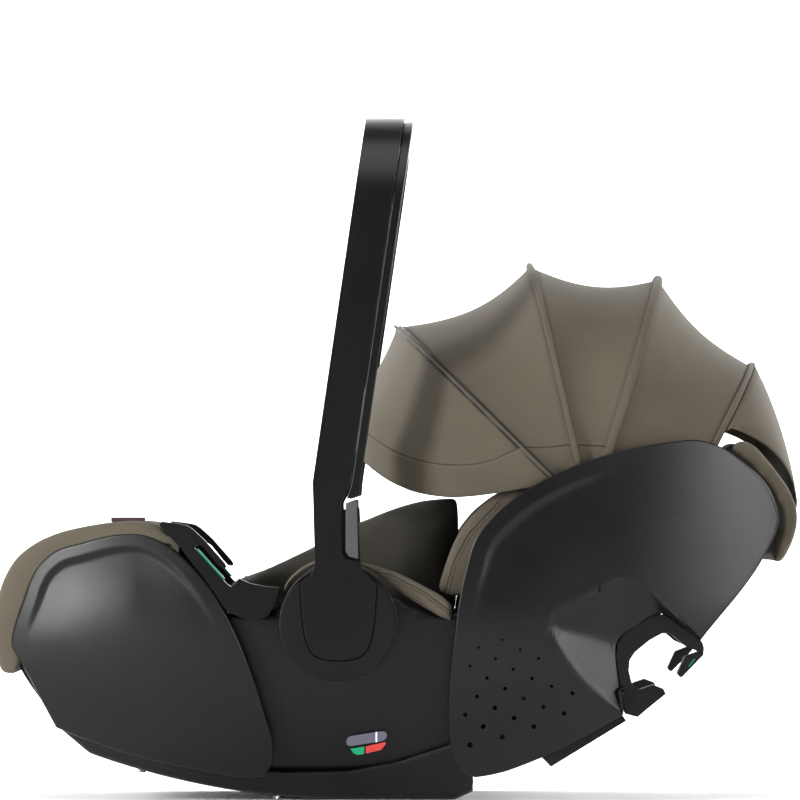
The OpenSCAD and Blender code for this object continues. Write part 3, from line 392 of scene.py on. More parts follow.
def beaded_foam(name):
    made, shader, start = new_finish(name, Roughness=0.9)
    at = start.node("ShaderNodeTexCoord", "Object")
    beads = start.node("ShaderNodeTexVoronoi", 0, {"Vector": at, "Scale": 330.0})
    feed(shader, start, Base_Color=mixed(start, beads.within(0.2, 0.6), (0.62, 0.62, 0.60), (0.48, 0.48, 0.46)),
         Normal=start.node("ShaderNodeBump", 0, {"Height": 1 - beads, "Distance": 0.0005, "Strength": 0.6}))
    return made


crash_foam = beaded_foam("crash_foam")
for node in ("seat_foam", "back_foam"):
    carried_over(node, crash_foam)

# -------------------------------------------------------------- front covers
# Satin black shells clipped over the foot end, one a side. A raised border runs round the top
# and the field inside it is scooped, fading out towards the bottom and the back.
cover_plastic = grained_plastic("cover_plastic", (0.0035, 0.0035, 0.0036), (0.0048, 0.0048, 0.005), 0.34,
                                grain=0.00008)
front_outline = [(-320.5, 131), (-318.5, 141), (-312, 160), (-296, 195), (-284, 205), (-262, 212),
                 (-228, 219.3), (-212, 219), (-196, 213.5), (-184, 206), (-170, 193), (-144, 156), (-122, 106),
                 (-111, 71), (-104.5, 47), (-105, 30), (-112, 20), (-124, 18.8), (-165, 24.8), (-205, 32.7),
                 (-240, 43), (-266, 52.4), (-283.5, 59.7),
                 (-296, 83), (-308, 105.5), (-317, 121), (-319.8, 125.5)]


def front_relief(at, edge):
    x, z = at[..., 0], at[..., 1]
    top = smooth((z - 128) / 55) * (1 - 0.65 * smooth((x + 215) / 50))
    step = smooth((edge - 10) / 5.5)
    return 3.2 * top * step * (1 - smooth((edge - 16) / 75))


bm = bmesh.new()
skin_panel(bm, front_outline, (-205, 130), 0, front_relief, lip=1.8, corner=30)
for side in ("left", "right"):
    half = bm.copy()
    if side == "right":
        bmesh.ops.scale(half, vec=(1, -1, 1), verts=half.verts)
        bmesh.ops.reverse_faces(half, faces=half.faces)
    piece("front_cover_shell_" + side, half, cover_plastic, "carrier",
          ["front_cover_" + side], wall=2.4)
bm.free()

# --------------------------------------------------------------- rear covers
# Larger satin black shells screwed to the back shell. A scoop leads down to the belt hook, a grid of
# small holes that grow towards the floor lets air through, and a soft crease follows the front edge.
hook_seam = [(183.4, 72.3), (180.5, 94.5), (177.6, 119.6), (177.9, 129.2), (182.4, 136), (193, 142.7),
             (206.5, 151.4),
             (214.2, 153.8), (220, 152.4), (231.6, 143.7), (246.1, 131.2)]
rear_outline = [(40.9, 50.7), (44.5, 34), (52.4, 22.9), (62.2, 18.8), (80.2, 22.1), (113, 33.9),
                (183.3, 71)] + hook_seam + [
                (299.6, 201.3), (308.6, 219.4), (311.5, 231.6), (310.2, 239), (300.4, 261.1), (280.7, 279.1),
                (261.1, 291.8), (243.1, 296.3), (223.2, 294.8), (179.2, 286.9), (137.9, 273), (99.9, 252.9),
                (78.6, 235.3), (62.2, 215.3), (54, 190), (48.3, 163.7), (44.6, 134.2), (40.1, 74.5)]
scoop_edge = flowing([(183.4, 72.3), (158.2, 90.6), (140.9, 109.9), (125.4, 134.1), (120.2, 143.7),
                      (121.9, 149.5), (133.1, 156.6), (156.3, 168.8), (176.6, 181), (187.2, 182.1),
                      (196.9, 178.5), (216.2, 160.1),
                      (237.4, 141.8), (248.6, 131.2)], 80, closed=False)
hook_face = float(skin(248, 131, 4.5))


def rear_relief(at, edge):
    x, z = at[..., 0], at[..., 1]
    seam = np.array(hook_seam)
    ring = np.concatenate([scoop_edge, seam[::-1]])
    inside = np.zeros(x.shape, bool)
    for a, b in zip(ring, np.roll(ring, -1, axis=0)):
        crosses = (a[1] > z) != (b[1] > z)
        inside ^= crosses & (x < (b[0] - a[0]) * (z - a[1]) / (b[1] - a[1] + 1e-9) + a[0])
    near_rim, near_seam = distance(at, scoop_edge), distance(at, seam)
    share = near_rim / np.maximum(near_rim + near_seam, 0.01)
    floor = np.maximum(skin(x, z) - hook_face - 1.0, 0)
    scoop = np.where(inside, floor * share ** 0.9, 0)
    top = smooth((z - 140) / 60) * (1 - smooth((x - 120) / 70))
    return scoop + 2.0 * top * smooth((edge - 12) / 6) * (1 - smooth((edge - 18) / 70))


def applied(obj):
    """Fixes a piece's modifiers into its mesh."""
    mesh = bpy.data.meshes.new_from_object(obj.evaluated_get(bpy.context.evaluated_depsgraph_get()))
    obj.modifiers.clear()
    obj.data = mesh


bm = bmesh.new()
skin_panel(bm, rear_outline, (150, 235), 0, rear_relief, lip=1.2, count=420, inner=30, corner=32)
bmesh.ops.recalc_face_normals(bm, faces=bm.faces)
if sum(f.normal.y * f.calc_area() for f in bm.faces) > 0:
    bmesh.ops.reverse_faces(bm, faces=bm.faces)
near = piece("rear_cover_shell_left", bm, cover_plastic, None, wall=2.4)
holes = bmesh.new()
for x, z in ((102.4, 141), (83.9, 132.7), (64.4, 126.3), (98.4, 124.6), (78.3, 117.1), (113.5, 117.3),
             (57.3, 111.1), (92.8, 108.4), (71.2, 101.2), (108.2, 100.8), (86, 92.5), (124.3, 94.3), (63.1, 86),
             (101.5, 84.4), (141.3, 88.7), (77.7, 76.7), (117.7, 77.5), (53.6, 70.9), (93.6, 68.4),
             (134.5, 71.9), (68.3, 61.3),
             (109.8, 61.1), (83.9, 52.6), (57.6, 46)):
    radius = (0.8 + (141 - z) * 0.0155) * MM
    drill = bmesh.ops.create_cone(holes, segments=20, cap_ends=True, radius1=radius, radius2=radius,
                                  depth=40 * MM)["verts"]
    bmesh.ops.rotate(holes, verts=drill, cent=(0, 0, 0), matrix=Matrix.Rotation(math.pi / 2, 3, "X"))
    bmesh.ops.translate(holes, verts=drill, vec=Vector((x, -float(skin(x, z, 0)), z)) * MM)
drills = bpy.data.objects.new("drills", bpy.data.meshes.new("drills"))
holes.to_mesh(drills.data)
holes.free()
bpy.context.scene.collection.objects.link(drills)
cut = near.modifiers.new("holes", "BOOLEAN")
cut.operation, cut.object, cut.solver = "DIFFERENCE", drills, "EXACT"
applied(near)
bpy.data.objects.remove(drills)
near.data.name = "rear_cover_shell_left"
near.data.polygons.foreach_set("use_smooth", [True] * len(near.data.polygons))
near.data.set_sharp_from_angle(angle=math.radians(34))
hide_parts("rear_cover_left")
bm = bmesh.new()
bm.from_mesh(near.data)
bmesh.ops.scale(bm, vec=(1, -1, 1), verts=bm.verts)
bmesh.ops.reverse_faces(bm, faces=bm.faces)
piece("rear_cover_shell_right", bm, cover_plastic, "backrest", ["rear_cover_right"], sharp=34)
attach(near, "backrest")

# ------------------------------------------- guides, hubs and carry handle
# Black nylon mouldings with rounded edges: the lap belt guides on the seat sides, the belt hooks in
# the rear covers, and the handle with its sockets, caps, back strip and release buttons.


def softened(node, edge, finish, body, segments=3):
    """A copy of a CAD node with its hard edges rounded."""
    bm = bmesh.new()
    bm.from_mesh(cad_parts[node].data)
    bmesh.ops.remove_doubles(bm, verts=bm.verts, dist=0.35 * MM)
    bmesh.ops.dissolve_limit(bm, angle_limit=math.radians(1.2), verts=bm.verts, edges=bm.edges, delimit=set())
    hard = [e for e in bm.edges if len(e.link_faces) == 2 and e.calc_face_angle(0) > math.radians(28)]
    bmesh.ops.bevel(bm, geom=hard, offset=edge * MM, segments=segments, profile=0.5, affect="EDGES",
                    material=-1, clamp_overlap=True)
    made = piece(node + "_moulding", bm, finish, body, [node], sharp=50)
    made.modifiers.new("even", "WEIGHTED_NORMAL").keep_sharp = True
    return made


guide_plastic = grained_plastic("guide_plastic", (0.0025, 0.0025, 0.0026), (0.0035, 0.0035, 0.0036), 0.34,
                                grain=0.00003)
handle_plastic = grained_plastic("handle_plastic", (0.003, 0.003, 0.0031), (0.004, 0.004, 0.0042), 0.33,
                                 grain=0.00004)
grey_plastic = grained_plastic("grey_plastic", (0.0035, 0.0035, 0.0036), (0.0048, 0.0048, 0.005), 0.34,
                               grain=0.00004)
button_plastic = grained_plastic("button_plastic", (0.06, 0.06, 0.062), (0.07, 0.07, 0.072), 0.42,
                                 grain=0.00004)
softened("lap_belt_guides", 1.6, guide_plastic, "carrier")
softened("shoulder_belt_guides", 1.6, cover_plastic, "backrest")
softened("hub_sockets", 0.8, handle_plastic, "carrier")
softened("handle_frame", 2.2, handle_plastic, "handle")
softened("handle_strip", 1.2, handle_plastic, "handle")
softened("hub_caps", 1.6, grey_plastic, "handle")
softened("handle_button_left", 0.8, button_plastic, "handle_key_left")
softened("handle_button_right", 0.8, button_plastic, "handle_key_right")

# -------------------------------------------------- belt route colour marks
# Thin green liners pressed into the belt slots, and the green dash on each hook.


def coloured_insert(name, colour, rough):
    made, shader, start = new_finish(name)
    at = start.node("ShaderNodeTexCoord", "Object")
    flow = start.node("ShaderNodeTexNoise", 0, {"Vector": at, "Scale": 220.0, "Detail": 2.0})
    feed(shader, start, Base_Color=mixed(start, flow, colour, [c * 0.82 for c in colour]),
         Roughness=flow * 0.15 + rough,
         Normal=start.node("ShaderNodeBump", 0, {"Height": flow, "Distance": 0.00003, "Strength": 0.5}))
    return made


carried_over("lap_slot_markers", coloured_insert("slot_green", (0.0, 0.26, 0.13), 0.35))
carried_over("guide_inlays", coloured_insert("hook_green", (0.0, 0.16, 0.13), 0.35))

# ------------------------------------------------------------- level window
# A tinted bubble level on each side of the seat shell, with a green and a red mark printed below it.
lens, lens_shader, start = new_finish("level_lens", Roughness=0.12, Coat_Weight=0.6)
place = start.node("ShaderNodeSeparateXYZ", "X", {0: start.node("ShaderNodeTexCoord", "Object")})
bubble = place.within(-0.0204, -0.0199) - place.within(-0.0190, -0.0185)
feed(lens_shader, start, Base_Color=mixed(start, bubble, (0.09, 0.09, 0.13), (0.75, 0.77, 0.8)))
carried_over("level_vials", lens)
carried_over("level_marks_green", coloured_insert("mark_green", (0.0, 0.33, 0.15), 0.4))
carried_over("level_marks_red", coloured_insert("mark_red", (0.62, 0.045, 0.04), 0.4))

# ---------------------------------------------------------------- back shell
# The moulded back that tilts on two pins: side plates inside the rear covers, a curved back plate
# and a pair of skids under the covers. It carries the rear covers, headrest, hooks and canopy.
back_side = [(64, 139), (108, 82), (135, 97), (170, 122), (176, 132), (186, 144), (206, 158), (223, 159),
             (245, 176), (300, 220), (304, 236), (292, 248), (268, 256), (240, 252), (226, 247), (180, 246),
             (150, 252), (130, 250),
             (100, 236), (88, 200), (78, 166), (62, 166)]
bm = bmesh.new()
cut_panel(bm, back_side, 19.2)
both_sides(bm)
back_curve = [(62 + 94.2 * math.cos(a), 153 + 94.2 * math.sin(a))
              for a in np.radians(np.linspace(-97, -50, 14))]
back_curve += [tuple(p) for p in np.linspace((243.9, 176.4), (301.9, 223.4), 20)]
surface(bm, [[(x, s * skin(x, z, 21), z) for s in np.linspace(-1, 1, 21)] for x, z in back_curve],
        inside=(100, 0, 600))
piece("back_plate_and_sides", bm, shell_plastic, "backrest", ["back_shell"], wall=3.2)
bm = bmesh.new()
skid_y = float(skin(150, 50, 10))
for outline in ([(116, 36), (124, 27.8), (186, 65.6), (181, 73), (150, 72), (120, 60)],
                [(120, 60), (150, 72), (181, 73), (170, 100), (173, 122), (140, 98), (128, 88)]):
    face = bm.faces.new([bm.verts.new(Vector((x, -skid_y, z)) * MM)
                         for x, z in flowing(outline, 60, corner=20)])
    top = bmesh.ops.extrude_face_region(bm, geom=[face])["geom"]
    bmesh.ops.translate(bm, vec=(0, 5 * MM, 0), verts=[g for g in top if isinstance(g, bmesh.types.BMVert)])
both_sides(bm)
bmesh.ops.recalc_face_normals(bm, faces=bm.faces)
piece("back_skids", bm, cover_plastic, "backrest", closed=True)
softened("release_lever", 1.2, grey_plastic, "release_handle")
softened("headrest_shell", 1.2, shell_plastic, "headrest")

# --------------------------------------------------- padded seat covers
# Olive-grey woven covers over soft wadding. Each pad is cut, sewn inside out and turned, so it swells
# between its seams; the covers hook round the edges of the shells.


def woven(name, dark, light, weave=0.00012, stitched=False):
    """Fine plain-weave cloth. A piece with a seam line shows a pressed groove there, darkened with painted shade,
    with a painted highlight along one side of it.
    """
    made, shader, start = new_finish(name, Sheen_Weight=0.06, Sheen_Roughness=0.5, Specular_IOR_Level=0.25)
    at = start.node("ShaderNodeTexCoord", "Object")
    mottle = start.node("ShaderNodeTexNoise", 0, {"Vector": at, "Scale": 26.0, "Detail": 4.0})
    yarn, weft = [start.node("ShaderNodeTexNoise", 0, {"Scale": 1.0, "Vector": start.node(
                      "ShaderNodeMapping", 0, {"Vector": at, "Scale": scale})})
                  for scale in ((1500.0, 420.0, 420.0), (420.0, 1500.0, 1500.0))]
    side = start.node("ShaderNodeAttribute", "Fac", attribute_name="seam_side") - 1000.0
    run = start.node("ShaderNodeAttribute", "Fac", attribute_name="seam_run")
    off = start.math("ABSOLUTE", side)
    groove_shade_and_stitches = 1 - off.within(0.2, 0.9)
    lit = 1 - (start.math("ABSOLUTE", side - 1.5)).within(0.2, 1.1)
    # painted highlight: lit lightens the cloth in a band 1.5 mm to one side of the seam
    cloth = mixed(start, (mottle - 0.5) * 0.9 + (yarn - 0.5) * 0.5 + (weft - 0.5) * 0.5 + lit * 0.35 + 0.5,
                  dark, light)
    if stitched:
        thread = 1 - (start.math("ABSOLUTE", side + 2.6)).within(0.25, 0.6)
        dash = start.math("FRACT", run * 0.30).within(0.15, 0.25) * thread
        groove_shade_and_stitches = start.math("MAXIMUM", groove_shade_and_stitches, dash * 0.8)
    # painted shade: the groove along the seam is darkened towards a quarter of the dark colour, and the stitch
    # dashes are darkened with it
    base = start.node("ShaderNodeMix", 2, {0: groove_shade_and_stitches * 0.72, 6: cloth, 7: (*[c * 0.25 for c in dark], 1)},
                      data_type="RGBA")
    height = (yarn + weft) * 0.5 - groove_shade_and_stitches * 4.0 - (1 - off.within(0.5, 3.0)) * 1.5
    feed(shader, start, Base_Color=base, Roughness=(mottle - 0.5) * 0.1 + 0.82,
         Normal=start.node("ShaderNodeBump", 0, {"Height": height, "Distance": weave, "Strength": 0.9}))
    return made


def seam_along(obj, line):
    """Marks a seam that follows a line in the side view, so that the cloth shows it as a bumped groove with
    painted shade and a painted highlight beside it.
    """
    co = np.empty(len(obj.data.vertices) * 3, np.float32)
    obj.data.vertices.foreach_get("co", co)
    flat = co.reshape(-1, 3)[:, [0, 2]].astype(float) / MM
    line = np.asarray(line, float)
    best = np.full(len(flat), 1e9)
    side, run, start_run = np.full(len(flat), 500.0), np.zeros(len(flat)), 0.0
    for a, b in zip(line, line[1:]):
        along = (b - a) / np.linalg.norm(b - a)
        t = np.clip((flat - a) @ along, 0, np.linalg.norm(b - a))
        away = flat - a - t[:, None] * along
        far = np.linalg.norm(away, axis=1)
        nearer = far < best
        best = np.where(nearer, far, best)
        side = np.where(nearer, far * np.sign(away @ np.array([-along[1], along[0]])), side)
        run = np.where(nearer, start_run + t, run)
        start_run += np.linalg.norm(b - a)
    for name, value in (("seam_side", side + 1000), ("seam_run", run)):
        layer = obj.data.attributes.new(name, "FLOAT", "POINT")
        layer.data.foreach_set("value", value.astype(np.float32))


def puffed(name, node, finish, body, voxel=5.0, shrink=2.5, cap=7.0, seam=None):
    """A padded cover: the CAD solid's cloth, drawn in a little and then swollen from inside."""
    bm = bmesh.new()
    bm.from_mesh(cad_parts[node].data)
    pad = piece(name, bm, finish, None)
    even = pad.modifiers.new("even", "REMESH")
    even.mode, even.voxel_size = "VOXEL", voxel * MM
    applied(pad)
    bm = bmesh.new()
    bm.from_mesh(pad.data)
    for turn in range(3):
        bmesh.ops.smooth_vert(bm, verts=bm.verts, factor=0.5, use_axis_x=True, use_axis_y=True, use_axis_z=True)
    bm.normal_update()
    bm.to_mesh(pad.data)
    home = np.array([v.co for v in bm.verts])
    inward = np.array([v.co - v.normal * shrink * MM for v in bm.verts])
    bm.free()
    pad.data.vertices.foreach_set("co", inward.ravel())
    pad.data.update()
    swell = pad.modifiers.new("swell", "CLOTH")
    swell.settings.quality = 4
    swell.settings.use_pressure = True
    swell.settings.uniform_pressure_force = 4.0
    swell.settings.effector_weights.gravity = 0
    swell.collision_settings.use_collision = False
    for step in range(1, 21):
        bpy.context.scene.frame_set(step)
    moved = np.array([v.co for v in pad.evaluated_get(bpy.context.evaluated_depsgraph_get()).data.vertices])
    pad.modifiers.clear()
    bpy.context.scene.frame_set(1)
    shift = moved - inward
    size = np.linalg.norm(shift, axis=1, keepdims=True)
    home = inward + shift * np.minimum(1, cap * MM / np.maximum(size, 1e-9))
    pad.data.vertices.foreach_set("co", home.ravel())
    pad.data.update()
    pad.data.polygons.foreach_set("use_smooth", [True] * len(pad.data.polygons))
    finer = pad.modifiers.new("finer", "SUBSURF")
    finer.levels = finer.render_levels = 1
    if seam is not None:
        seam_along(pad, seam)
    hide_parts(node)
    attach(pad, body)
    return pad


OLIVE, OLIVE_LIT = (0.060, 0.0495, 0.0345), (0.086, 0.0725, 0.0515)
cover_cloth = woven("cover_cloth", OLIVE, OLIVE_LIT)
seamed_cloth = woven("seamed_cloth", OLIVE, OLIVE_LIT, stitched=True)
# painted shade: the low side wings take a much darker cloth that stands in for the shade inside the seat; the
# lining is a darker fabric whose dark tone also stands in for that shade
wing_cloth_painted_shade = woven("wing_cloth_painted_shade", (0.018, 0.016, 0.012), (0.028, 0.025, 0.019))
lining_cloth_painted_shade = woven("lining_cloth_painted_shade", (0.028, 0.027, 0.021), (0.045, 0.043, 0.034))
roll_out = flowing([(-319, 104), (-326.6, 105), (-331.7, 113), (-334, 131), (-333, 158), (-326.5, 182),
                    (-316, 199), (-301, 211), (-284, 219), (-258, 225.6), (-232, 229.2), (-215, 229.8),
                    (-202, 228),
                    (-191, 220)],
                   70, corner=120, closed=False)
roll_in = flowing([(-317, 106), (-313, 112), (-311, 120), (-310, 135), (-306, 157), (-300, 171), (-292, 183),
                   (-281, 192),
                   (-268, 198), (-250, 202), (-232, 204.5), (-215, 205), (-202, 204), (-188, 210)],
                  70, corner=120, closed=False)
roll_middle = (roll_out + roll_in) / 2
roll_rows = []
for deep, share in [(7 * k * k, 1) for k in np.linspace(0, 1, 8)] + [(7, k) for k in np.linspace(0.97, 0, 24)]:
    full = math.sqrt(max(0, 1 - (1 - deep / 7) ** 2))
    edges = []
    for line, thick in ((roll_out, 0), (roll_in[::-1], 14)):
        middle = roll_middle if thick == 0 else roll_middle[::-1]
        x, z = (middle + (line - middle) * full).T
        half = skin(x, z, 0.8 + deep) * share
        # the middle of the roll is lower, where the legs lie
        trough = 178 - thick + (52 + thick) * smooth((half - 112) / 24)
        edges.append(np.stack([x, -half, np.minimum(z, trough)], axis=1))
    roll_rows.append(np.concatenate(edges + [edges[0][:1]]))
roll_rows += [row * (1, -1, 1) for row in roll_rows[-2::-1]]
bm = bmesh.new()
surface(bm, roll_rows, inside=(-262, 0, 190))
foot_roll = piece("foot_end_cover", bm, cover_cloth, "carrier", ["foot_cover"], sharp=60,
                  closed=True)
puffed("hub_rolls", "side_rolls", seamed_cloth, "carrier", voxel=3.5, shrink=1.5,
       cap=4.0,
       seam=[(-96, 172), (-60, 190), (-36, 190), (-8, 186), (20, 172), (45, 153)])
puffed("seat_cushion", "seat_pad", lining_cloth_painted_shade, "carrier", cap=6)
puffed("side_wings_low", "side_bolsters", wing_cloth_painted_shade, "carrier", cap=6)
puffed("back_cushion", "back_pad", lining_cloth_painted_shade, "backrest", cap=6)
puffed("side_wings_high", "wing_pads", seamed_cloth, "backrest", voxel=4, shrink=1.5,
       cap=5,
       seam=[(36, 166), (44, 196), (57, 220), (80, 244)])
puffed("head_end_cover", "head_cover", cover_cloth, "backrest", shrink=1.0, cap=3)
puffed("headrest_cushion", "headrest_pad", lining_cloth_painted_shade, "headrest", cap=6)
puffed("shoulder_pad_covers", "shoulder_pads", lining_cloth_painted_shade, "backrest", voxel=3,
       shrink=1, cap=3)
puffed("crotch_pad_cover", "crotch_pad", lining_cloth_painted_shade, "carrier", voxel=3, shrink=1,
       cap=3)

# ------------------------------------------------------------------ label tab
# A folded satin tab sewn into the edge of the foot cover, left blank here.
label_cloth = woven("label_cloth", (0.045, 0.026, 0.028), (0.065, 0.038, 0.040), weave=0.00005)
softened("label_tab", 0.5, label_cloth, "carrier", segments=2)

# -------------------------------------------------------------------- harness
# Black polyester webbing to a red push-button buckle, with an adjuster at the foot of the seat.
belt_black, belt_shader, start = new_finish("webbing", Specular_IOR_Level=0.3)
at = start.node("ShaderNodeTexCoord", "Object")
ribs = start.node("ShaderNodeTexWave", 0, {"Vector": at, "Scale": 320.0, "Distortion": 1.0},
                  bands_direction="Y")
feed(belt_shader, start, Base_Color=mixed(start, ribs, (0.012, 0.012, 0.012), (0.03, 0.03, 0.03)),
     Roughness=ribs * 0.2 + 0.6,
     Normal=start.node("ShaderNodeBump", 0, {"Height": ribs, "Distance": 0.0003, "Strength": 0.6}))
for node in ("harness_straps", "adjuster_strap", "crotch_strap"):
    softened(node, 0.5, belt_black, "backrest" if node == "harness_straps" else "carrier",
             segments=2)
softened("harness_adjuster", 1.5, grey_plastic, "carrier")
softened("adjuster_button", 1.0, button_plastic, "adjuster_key")
softened("buckle_body", 2.5, handle_plastic, "carrier")
softened("buckle_button", 1.0, coloured_insert("buckle_red", (0.5, 0.02, 0.02), 0.35),
         "buckle_key")
softened("buckle_tongues", 0.9, steel, "carrier", segments=2)

# --------------------------------------------------------------------- canopy
# One sheet of fine woven cloth sewn over three spring bows and the fixed rear hoop. It is cut in
# panels that hang in scallops between the sleeves, with a deep hem round the opening.
pivot = np.array([155.5, 235.0])
bow_tops = [(-1.7, 390.6), (108.9, 440.8), (215.2, 430.0)]
hoop_foot, hoop_top = np.array([236.0, 250.0]), np.array([292.0, 358.0])
hoop_half = float(skin(262, 293, 5.5))
canopy_middle = np.array([155.5, 0, 255.0])
across = np.linspace(-1, 1, 121)


def bow(i, t, hem=37):
    """Points on a bow's centre line, from its near foot at t = -1 over the top to its far foot."""
    half, top = float(skin(155.5, 235, 10.1 + 2.7 * i)), np.array(bow_tops[i])
    a = np.abs(t)
    angle = np.radians(90 * np.clip(1 - a / 0.9, 0, 1))
    foot = hem / np.linalg.norm(top - pivot)
    share = np.where(a > 0.9, foot + (0.42 - foot) * (1 - a) / 0.1, 0.42 + 0.58 * np.sin(angle) ** (2 / 2.6))
    side = pivot + (top - pivot) * share[:, None]
    return np.stack([side[:, 0], np.sign(t) * half * np.cos(angle) ** (2 / 2.6), side[:, 1]], axis=1)


def hoop(t):
    angle = np.radians(90 * (1 - np.abs(t)))
    side = hoop_foot + (hoop_top - hoop_foot) * (np.sin(angle) ** (2 / 2.6))[:, None]
    return np.stack([side[:, 0], np.sign(t) * hoop_half * np.cos(angle) ** (2 / 2.6), side[:, 1]], axis=1)


def proud(points, by):
    """Moves points away from the middle of the canopy."""
    away = points - canopy_middle
    return points + away / np.linalg.norm(away, axis=-1, keepdims=True) * by


def hung(a, b, sag, steps=14):
    """Rows of cloth between two lines, drawn in between them."""
    w = np.linspace(0, 1, steps + 1)[:, None, None]
    rows = a[None] * (1 - w) + b[None] * w
    crown = (0.55 + 0.45 * smooth((rows[..., 2:] - 290) / 110))
    return proud(rows, 1.4 - sag * crown * (4 * w * (1 - w)))


def canopy_cloth(name, rows, body, replaced, seam=None):
    bm = bmesh.new()
    surface(bm, rows, inside=canopy_middle)
    if sum(f.normal.dot(f.calc_center_median() - Vector(canopy_middle) * MM) for f in bm.faces) < 0:
        bmesh.ops.reverse_faces(bm, faces=bm.faces)
    made = piece(name, bm, cover_cloth, body, replaced, wall=1.0, sharp=60)
    if seam is not None:
        seam_along(made, seam)
    return made


hem_seam = [(90, 293), (99.6, 290.3), (118, 290), (140, 292.2), (163.7, 291.4), (180.9, 288.1), (215, 280)]
lines = [bow(i, across) for i in range(3)]
rear_line = hoop(across)
front = canopy_cloth("canopy_cloth_front", hung(lines[1], lines[0], 13), None, ["canopy_panel_front"],
                     hem_seam)
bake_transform(front)
middle = canopy_cloth("canopy_cloth_middle", hung(lines[2], lines[1], 11), None, ["canopy_panel_middle"],
                      hem_seam)
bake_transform(middle)
rear = canopy_cloth("canopy_cloth_rear", hung(rear_line, lines[2], 8), None, ["canopy_panel_rear"])
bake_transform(rear)

rim_half = [(99.6, 290.3, 1), (70.4, 277, .99), (42.6, 275, .97), (13.1, 279.4, .92), (-9.8, 289.7, .82),
            (-26.5, 302.5, .66),
            (-35, 311, .48), (-40, 317, .28), (-42, 319.4, .12), (-42.4, 320, .04), (-42.5, 320, 0)]
rim_width = float(skin(155.5, 235, 10.1))


def rim(drop):
    """The hem of the hood, from its seam at drop 0 to its lower edge at drop 1."""
    near = [(x, -rim_width * s * (1 - 0.03 * drop), z - 26 * drop) for x, z, s in rim_half]
    near[0] = (99.6 + 29.6 * drop, -rim_width, 290.3 - 29.3 * drop)
    whole = np.array(near + [(x, -y, z) for x, y, z in near[-2::-1]])
    return np.stack([np.interp(across, np.linspace(-1, 1, 21), whole[:, k]) for k in range(3)], axis=1)


def eased(rows, times):
    """Takes the corners out of each row without moving its ends."""
    for turn in range(times):
        rows[:, 1:-1] = rows[:, 1:-1] * 0.5 + (rows[:, :-2] + rows[:, 2:]) * 0.25
    return rows


hood = hung(bow(0, across, 79), rim(0), 4, 16)
band = [proud(rim(d / 26), 1.4) for d in (5, 10, 15, 20, 25, 26)]
hood_rows = eased(np.concatenate([hood, band]), 6)
visor = canopy_cloth("canopy_hood_front", hood_rows, "canopy_front", ["canopy_visor"])
# seam_side puts the cloth's painted shade along the seam between hood and hem band, with its painted highlight
# just beside it
side = np.concatenate([np.linspace(-120, 0, 17), [5, 10, 15, 20, 25, 26]])
layer = visor.data.attributes.new("seam_side", "FLOAT", "POINT")
co = np.array([v.co for v in visor.data.vertices]) / MM
flat_rows = hood_rows.reshape(-1, 3)
owner = [int(np.argmin(((flat_rows - c) ** 2).sum(1))) // len(across) for c in co]
layer.data.foreach_set("value", np.array([side[k] + 1000 for k in owner], np.float32))

# the sleeves that hold the bows, each with its body, width, height and line
for i, (body, wide, high, line) in enumerate([("canopy_front", 2.2, 0.8, lines[0]),
                                              ("canopy_middle", 5.5, 1.2, lines[1]),
                                              ("canopy_rear", 7.5, 1.6, lines[2]),
                                              ("backrest", 6.0, 2.2, rear_line)]):
    along = np.gradient(line, axis=0)
    along /= np.linalg.norm(along, axis=1, keepdims=True)
    out = line - canopy_middle
    out -= (out * along).sum(1, keepdims=True) * along
    out /= np.linalg.norm(out, axis=1, keepdims=True)
    wide_way = np.cross(out, along)
    knob = 2.8 * np.exp(-(across / 0.07) ** 2)
    rows = [proud(line, 1.2) + wide_way * (wide / 2 * math.sin(a)) + out * ((high + knob) * max(math.cos(a),
            0) ** 0.8)[:, None]
            for a in np.linspace(-math.pi / 2, math.pi / 2, 11)]
    bm = bmesh.new()
    surface(bm, rows, inside=canopy_middle)
    piece("bow_sleeve_%d" % (i + 1), bm, cover_cloth, body, wall=0.6, sharp=60)

bow_finish = grained_plastic("bow_plastic", (0.01, 0.01, 0.01), (0.014, 0.014, 0.014), 0.5)
for node in ("canopy_bow_front", "canopy_bow_middle", "canopy_bow_rear", "canopy_hoop"):
    carried_over(node, bow_finish)

# the loose flap behind the hoop, hemmed all round
part = np.linspace(-0.74, 0.74, 61)
top = hoop(part) + np.array([5, 0, 1])
share = np.abs(part / 0.74) ** 2.2
low = np.stack([331 + (273 - 331) * share + 44 * share * (1 - share), top[:, 1],
                240 + 66 * share + 35 * share * (1 - share)], axis=1)
w = np.linspace(0, 1, 15)[:, None, None]
skirt_rows = low[None] * (1 - w) + top[None] * w
skirt_rows[..., 0] += (6 * 4 * w * (1 - w))[..., 0] * 0.8
skirt_rows[..., 2] += (6 * 4 * w * (1 - w))[..., 0] * 0.6
canopy_cloth("canopy_flap_rear", skirt_rows, "backrest", ["canopy_skirt"])

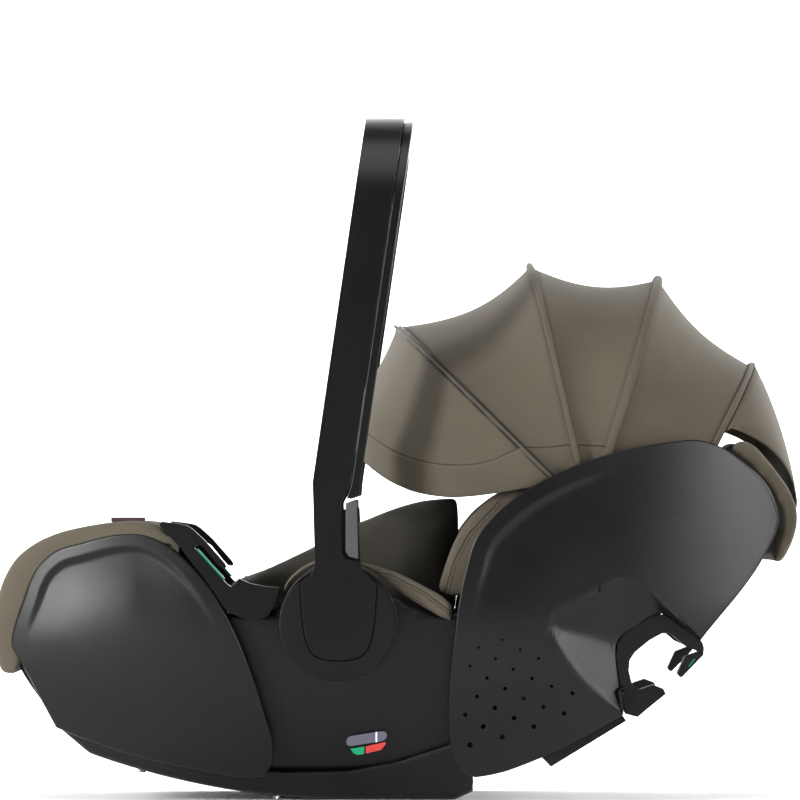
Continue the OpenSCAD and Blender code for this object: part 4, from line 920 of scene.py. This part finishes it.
# ------------------------------------------------- floor, lights and camera
# A white sweep behind and below the seat, soft boxes above and to both sides, and a long lens.
sweep, sweep_shader, start = new_finish("white_sweep", Roughness=0.9)
paper = start.node("ShaderNodeTexNoise", 0, {"Vector": start.node("ShaderNodeTexCoord", "Object"),
                                             "Scale": 3.0})
feed(sweep_shader, start, Base_Color=mixed(start, paper, (0.90, 0.90, 0.90), (0.92, 0.92, 0.92)))
profile = [(-11000, 0), (2500, 0)]
profile += [(2500 + 1500 * math.sin(a), 1500 - 1500 * math.cos(a)) for a in np.radians(np.arange(10, 91, 10))]
profile += [(4000, 7000)]
bm = bmesh.new()
surface(bm, [[(x, y, z) for x in (-7000, 7000)] for y, z in profile], inside=(0, 0, -5000))
floor = bpy.data.objects.new("studio_sweep", bpy.data.meshes.new("studio_sweep"))
bm.to_mesh(floor.data)
bm.free()
floor.data.polygons.foreach_set("use_smooth", [True] * len(floor.data.polygons))
floor.data.materials.append(sweep)
bpy.context.scene.collection.objects.link(floor)


def soft_box(name, place, aim, size, power, tall=None):
    light = bpy.data.lights.new(name, "AREA")
    light.shape, light.size, light.size_y, light.energy = "RECTANGLE", size, tall or size, power
    box = bpy.data.objects.new(name, light)
    box.location = place
    box.rotation_euler = (Vector(aim) - Vector(place)).to_track_quat("-Z", "Y").to_euler()
    bpy.context.scene.collection.objects.link(box)


soft_box("top_box", (-0.3, -0.9, 2.6), (0, 0, 0.2), 2.0, 37)
soft_box("left_box", (-2.2, -1.8, 0.75), (-0.2, 0, 0.2), 0.5, 92, 1.5)
soft_box("right_box", (2.1, -2.2, 0.8), (0.3, 0, 0.2), 0.42, 54, 1.5)
soft_box("edge_box", (2.6, 0.9, 0.6), (0.2, 0, 0.2), 1.0, 20, 1.6)
soft_box("front_box", (0.4, -5.0, 2.4), (0, 0, 0.3), 2.0, 2)
soft_box("sweep_left", (-2.6, 1.2, 1.6), (-0.6, 4.0, 0.7), 1.5, 260)
soft_box("sweep_right", (2.6, 1.2, 1.6), (0.6, 4.0, 0.7), 1.5, 260)
world = bpy.data.worlds.new("studio")
world.use_nodes = True
world.node_tree.nodes["Background"].inputs["Color"].default_value = (1, 1, 1, 1)
world.node_tree.nodes["Background"].inputs["Strength"].default_value = 0.05
bpy.context.scene.world = world
bpy.context.scene.view_settings.view_transform = "Standard"

lens_data = bpy.data.cameras.new("camera")
lens_data.lens, lens_data.sensor_width, lens_data.clip_end = 485.7, 36, 100
camera = bpy.data.objects.new("camera", lens_data)
camera.location = (0, -9.04, 0.239)
camera.rotation_euler = (Vector((0, 0, 0.331)) - camera.location).to_track_quat("-Z", "Y").to_euler()
bpy.context.scene.collection.objects.link(camera)
bpy.context.scene.camera = camera
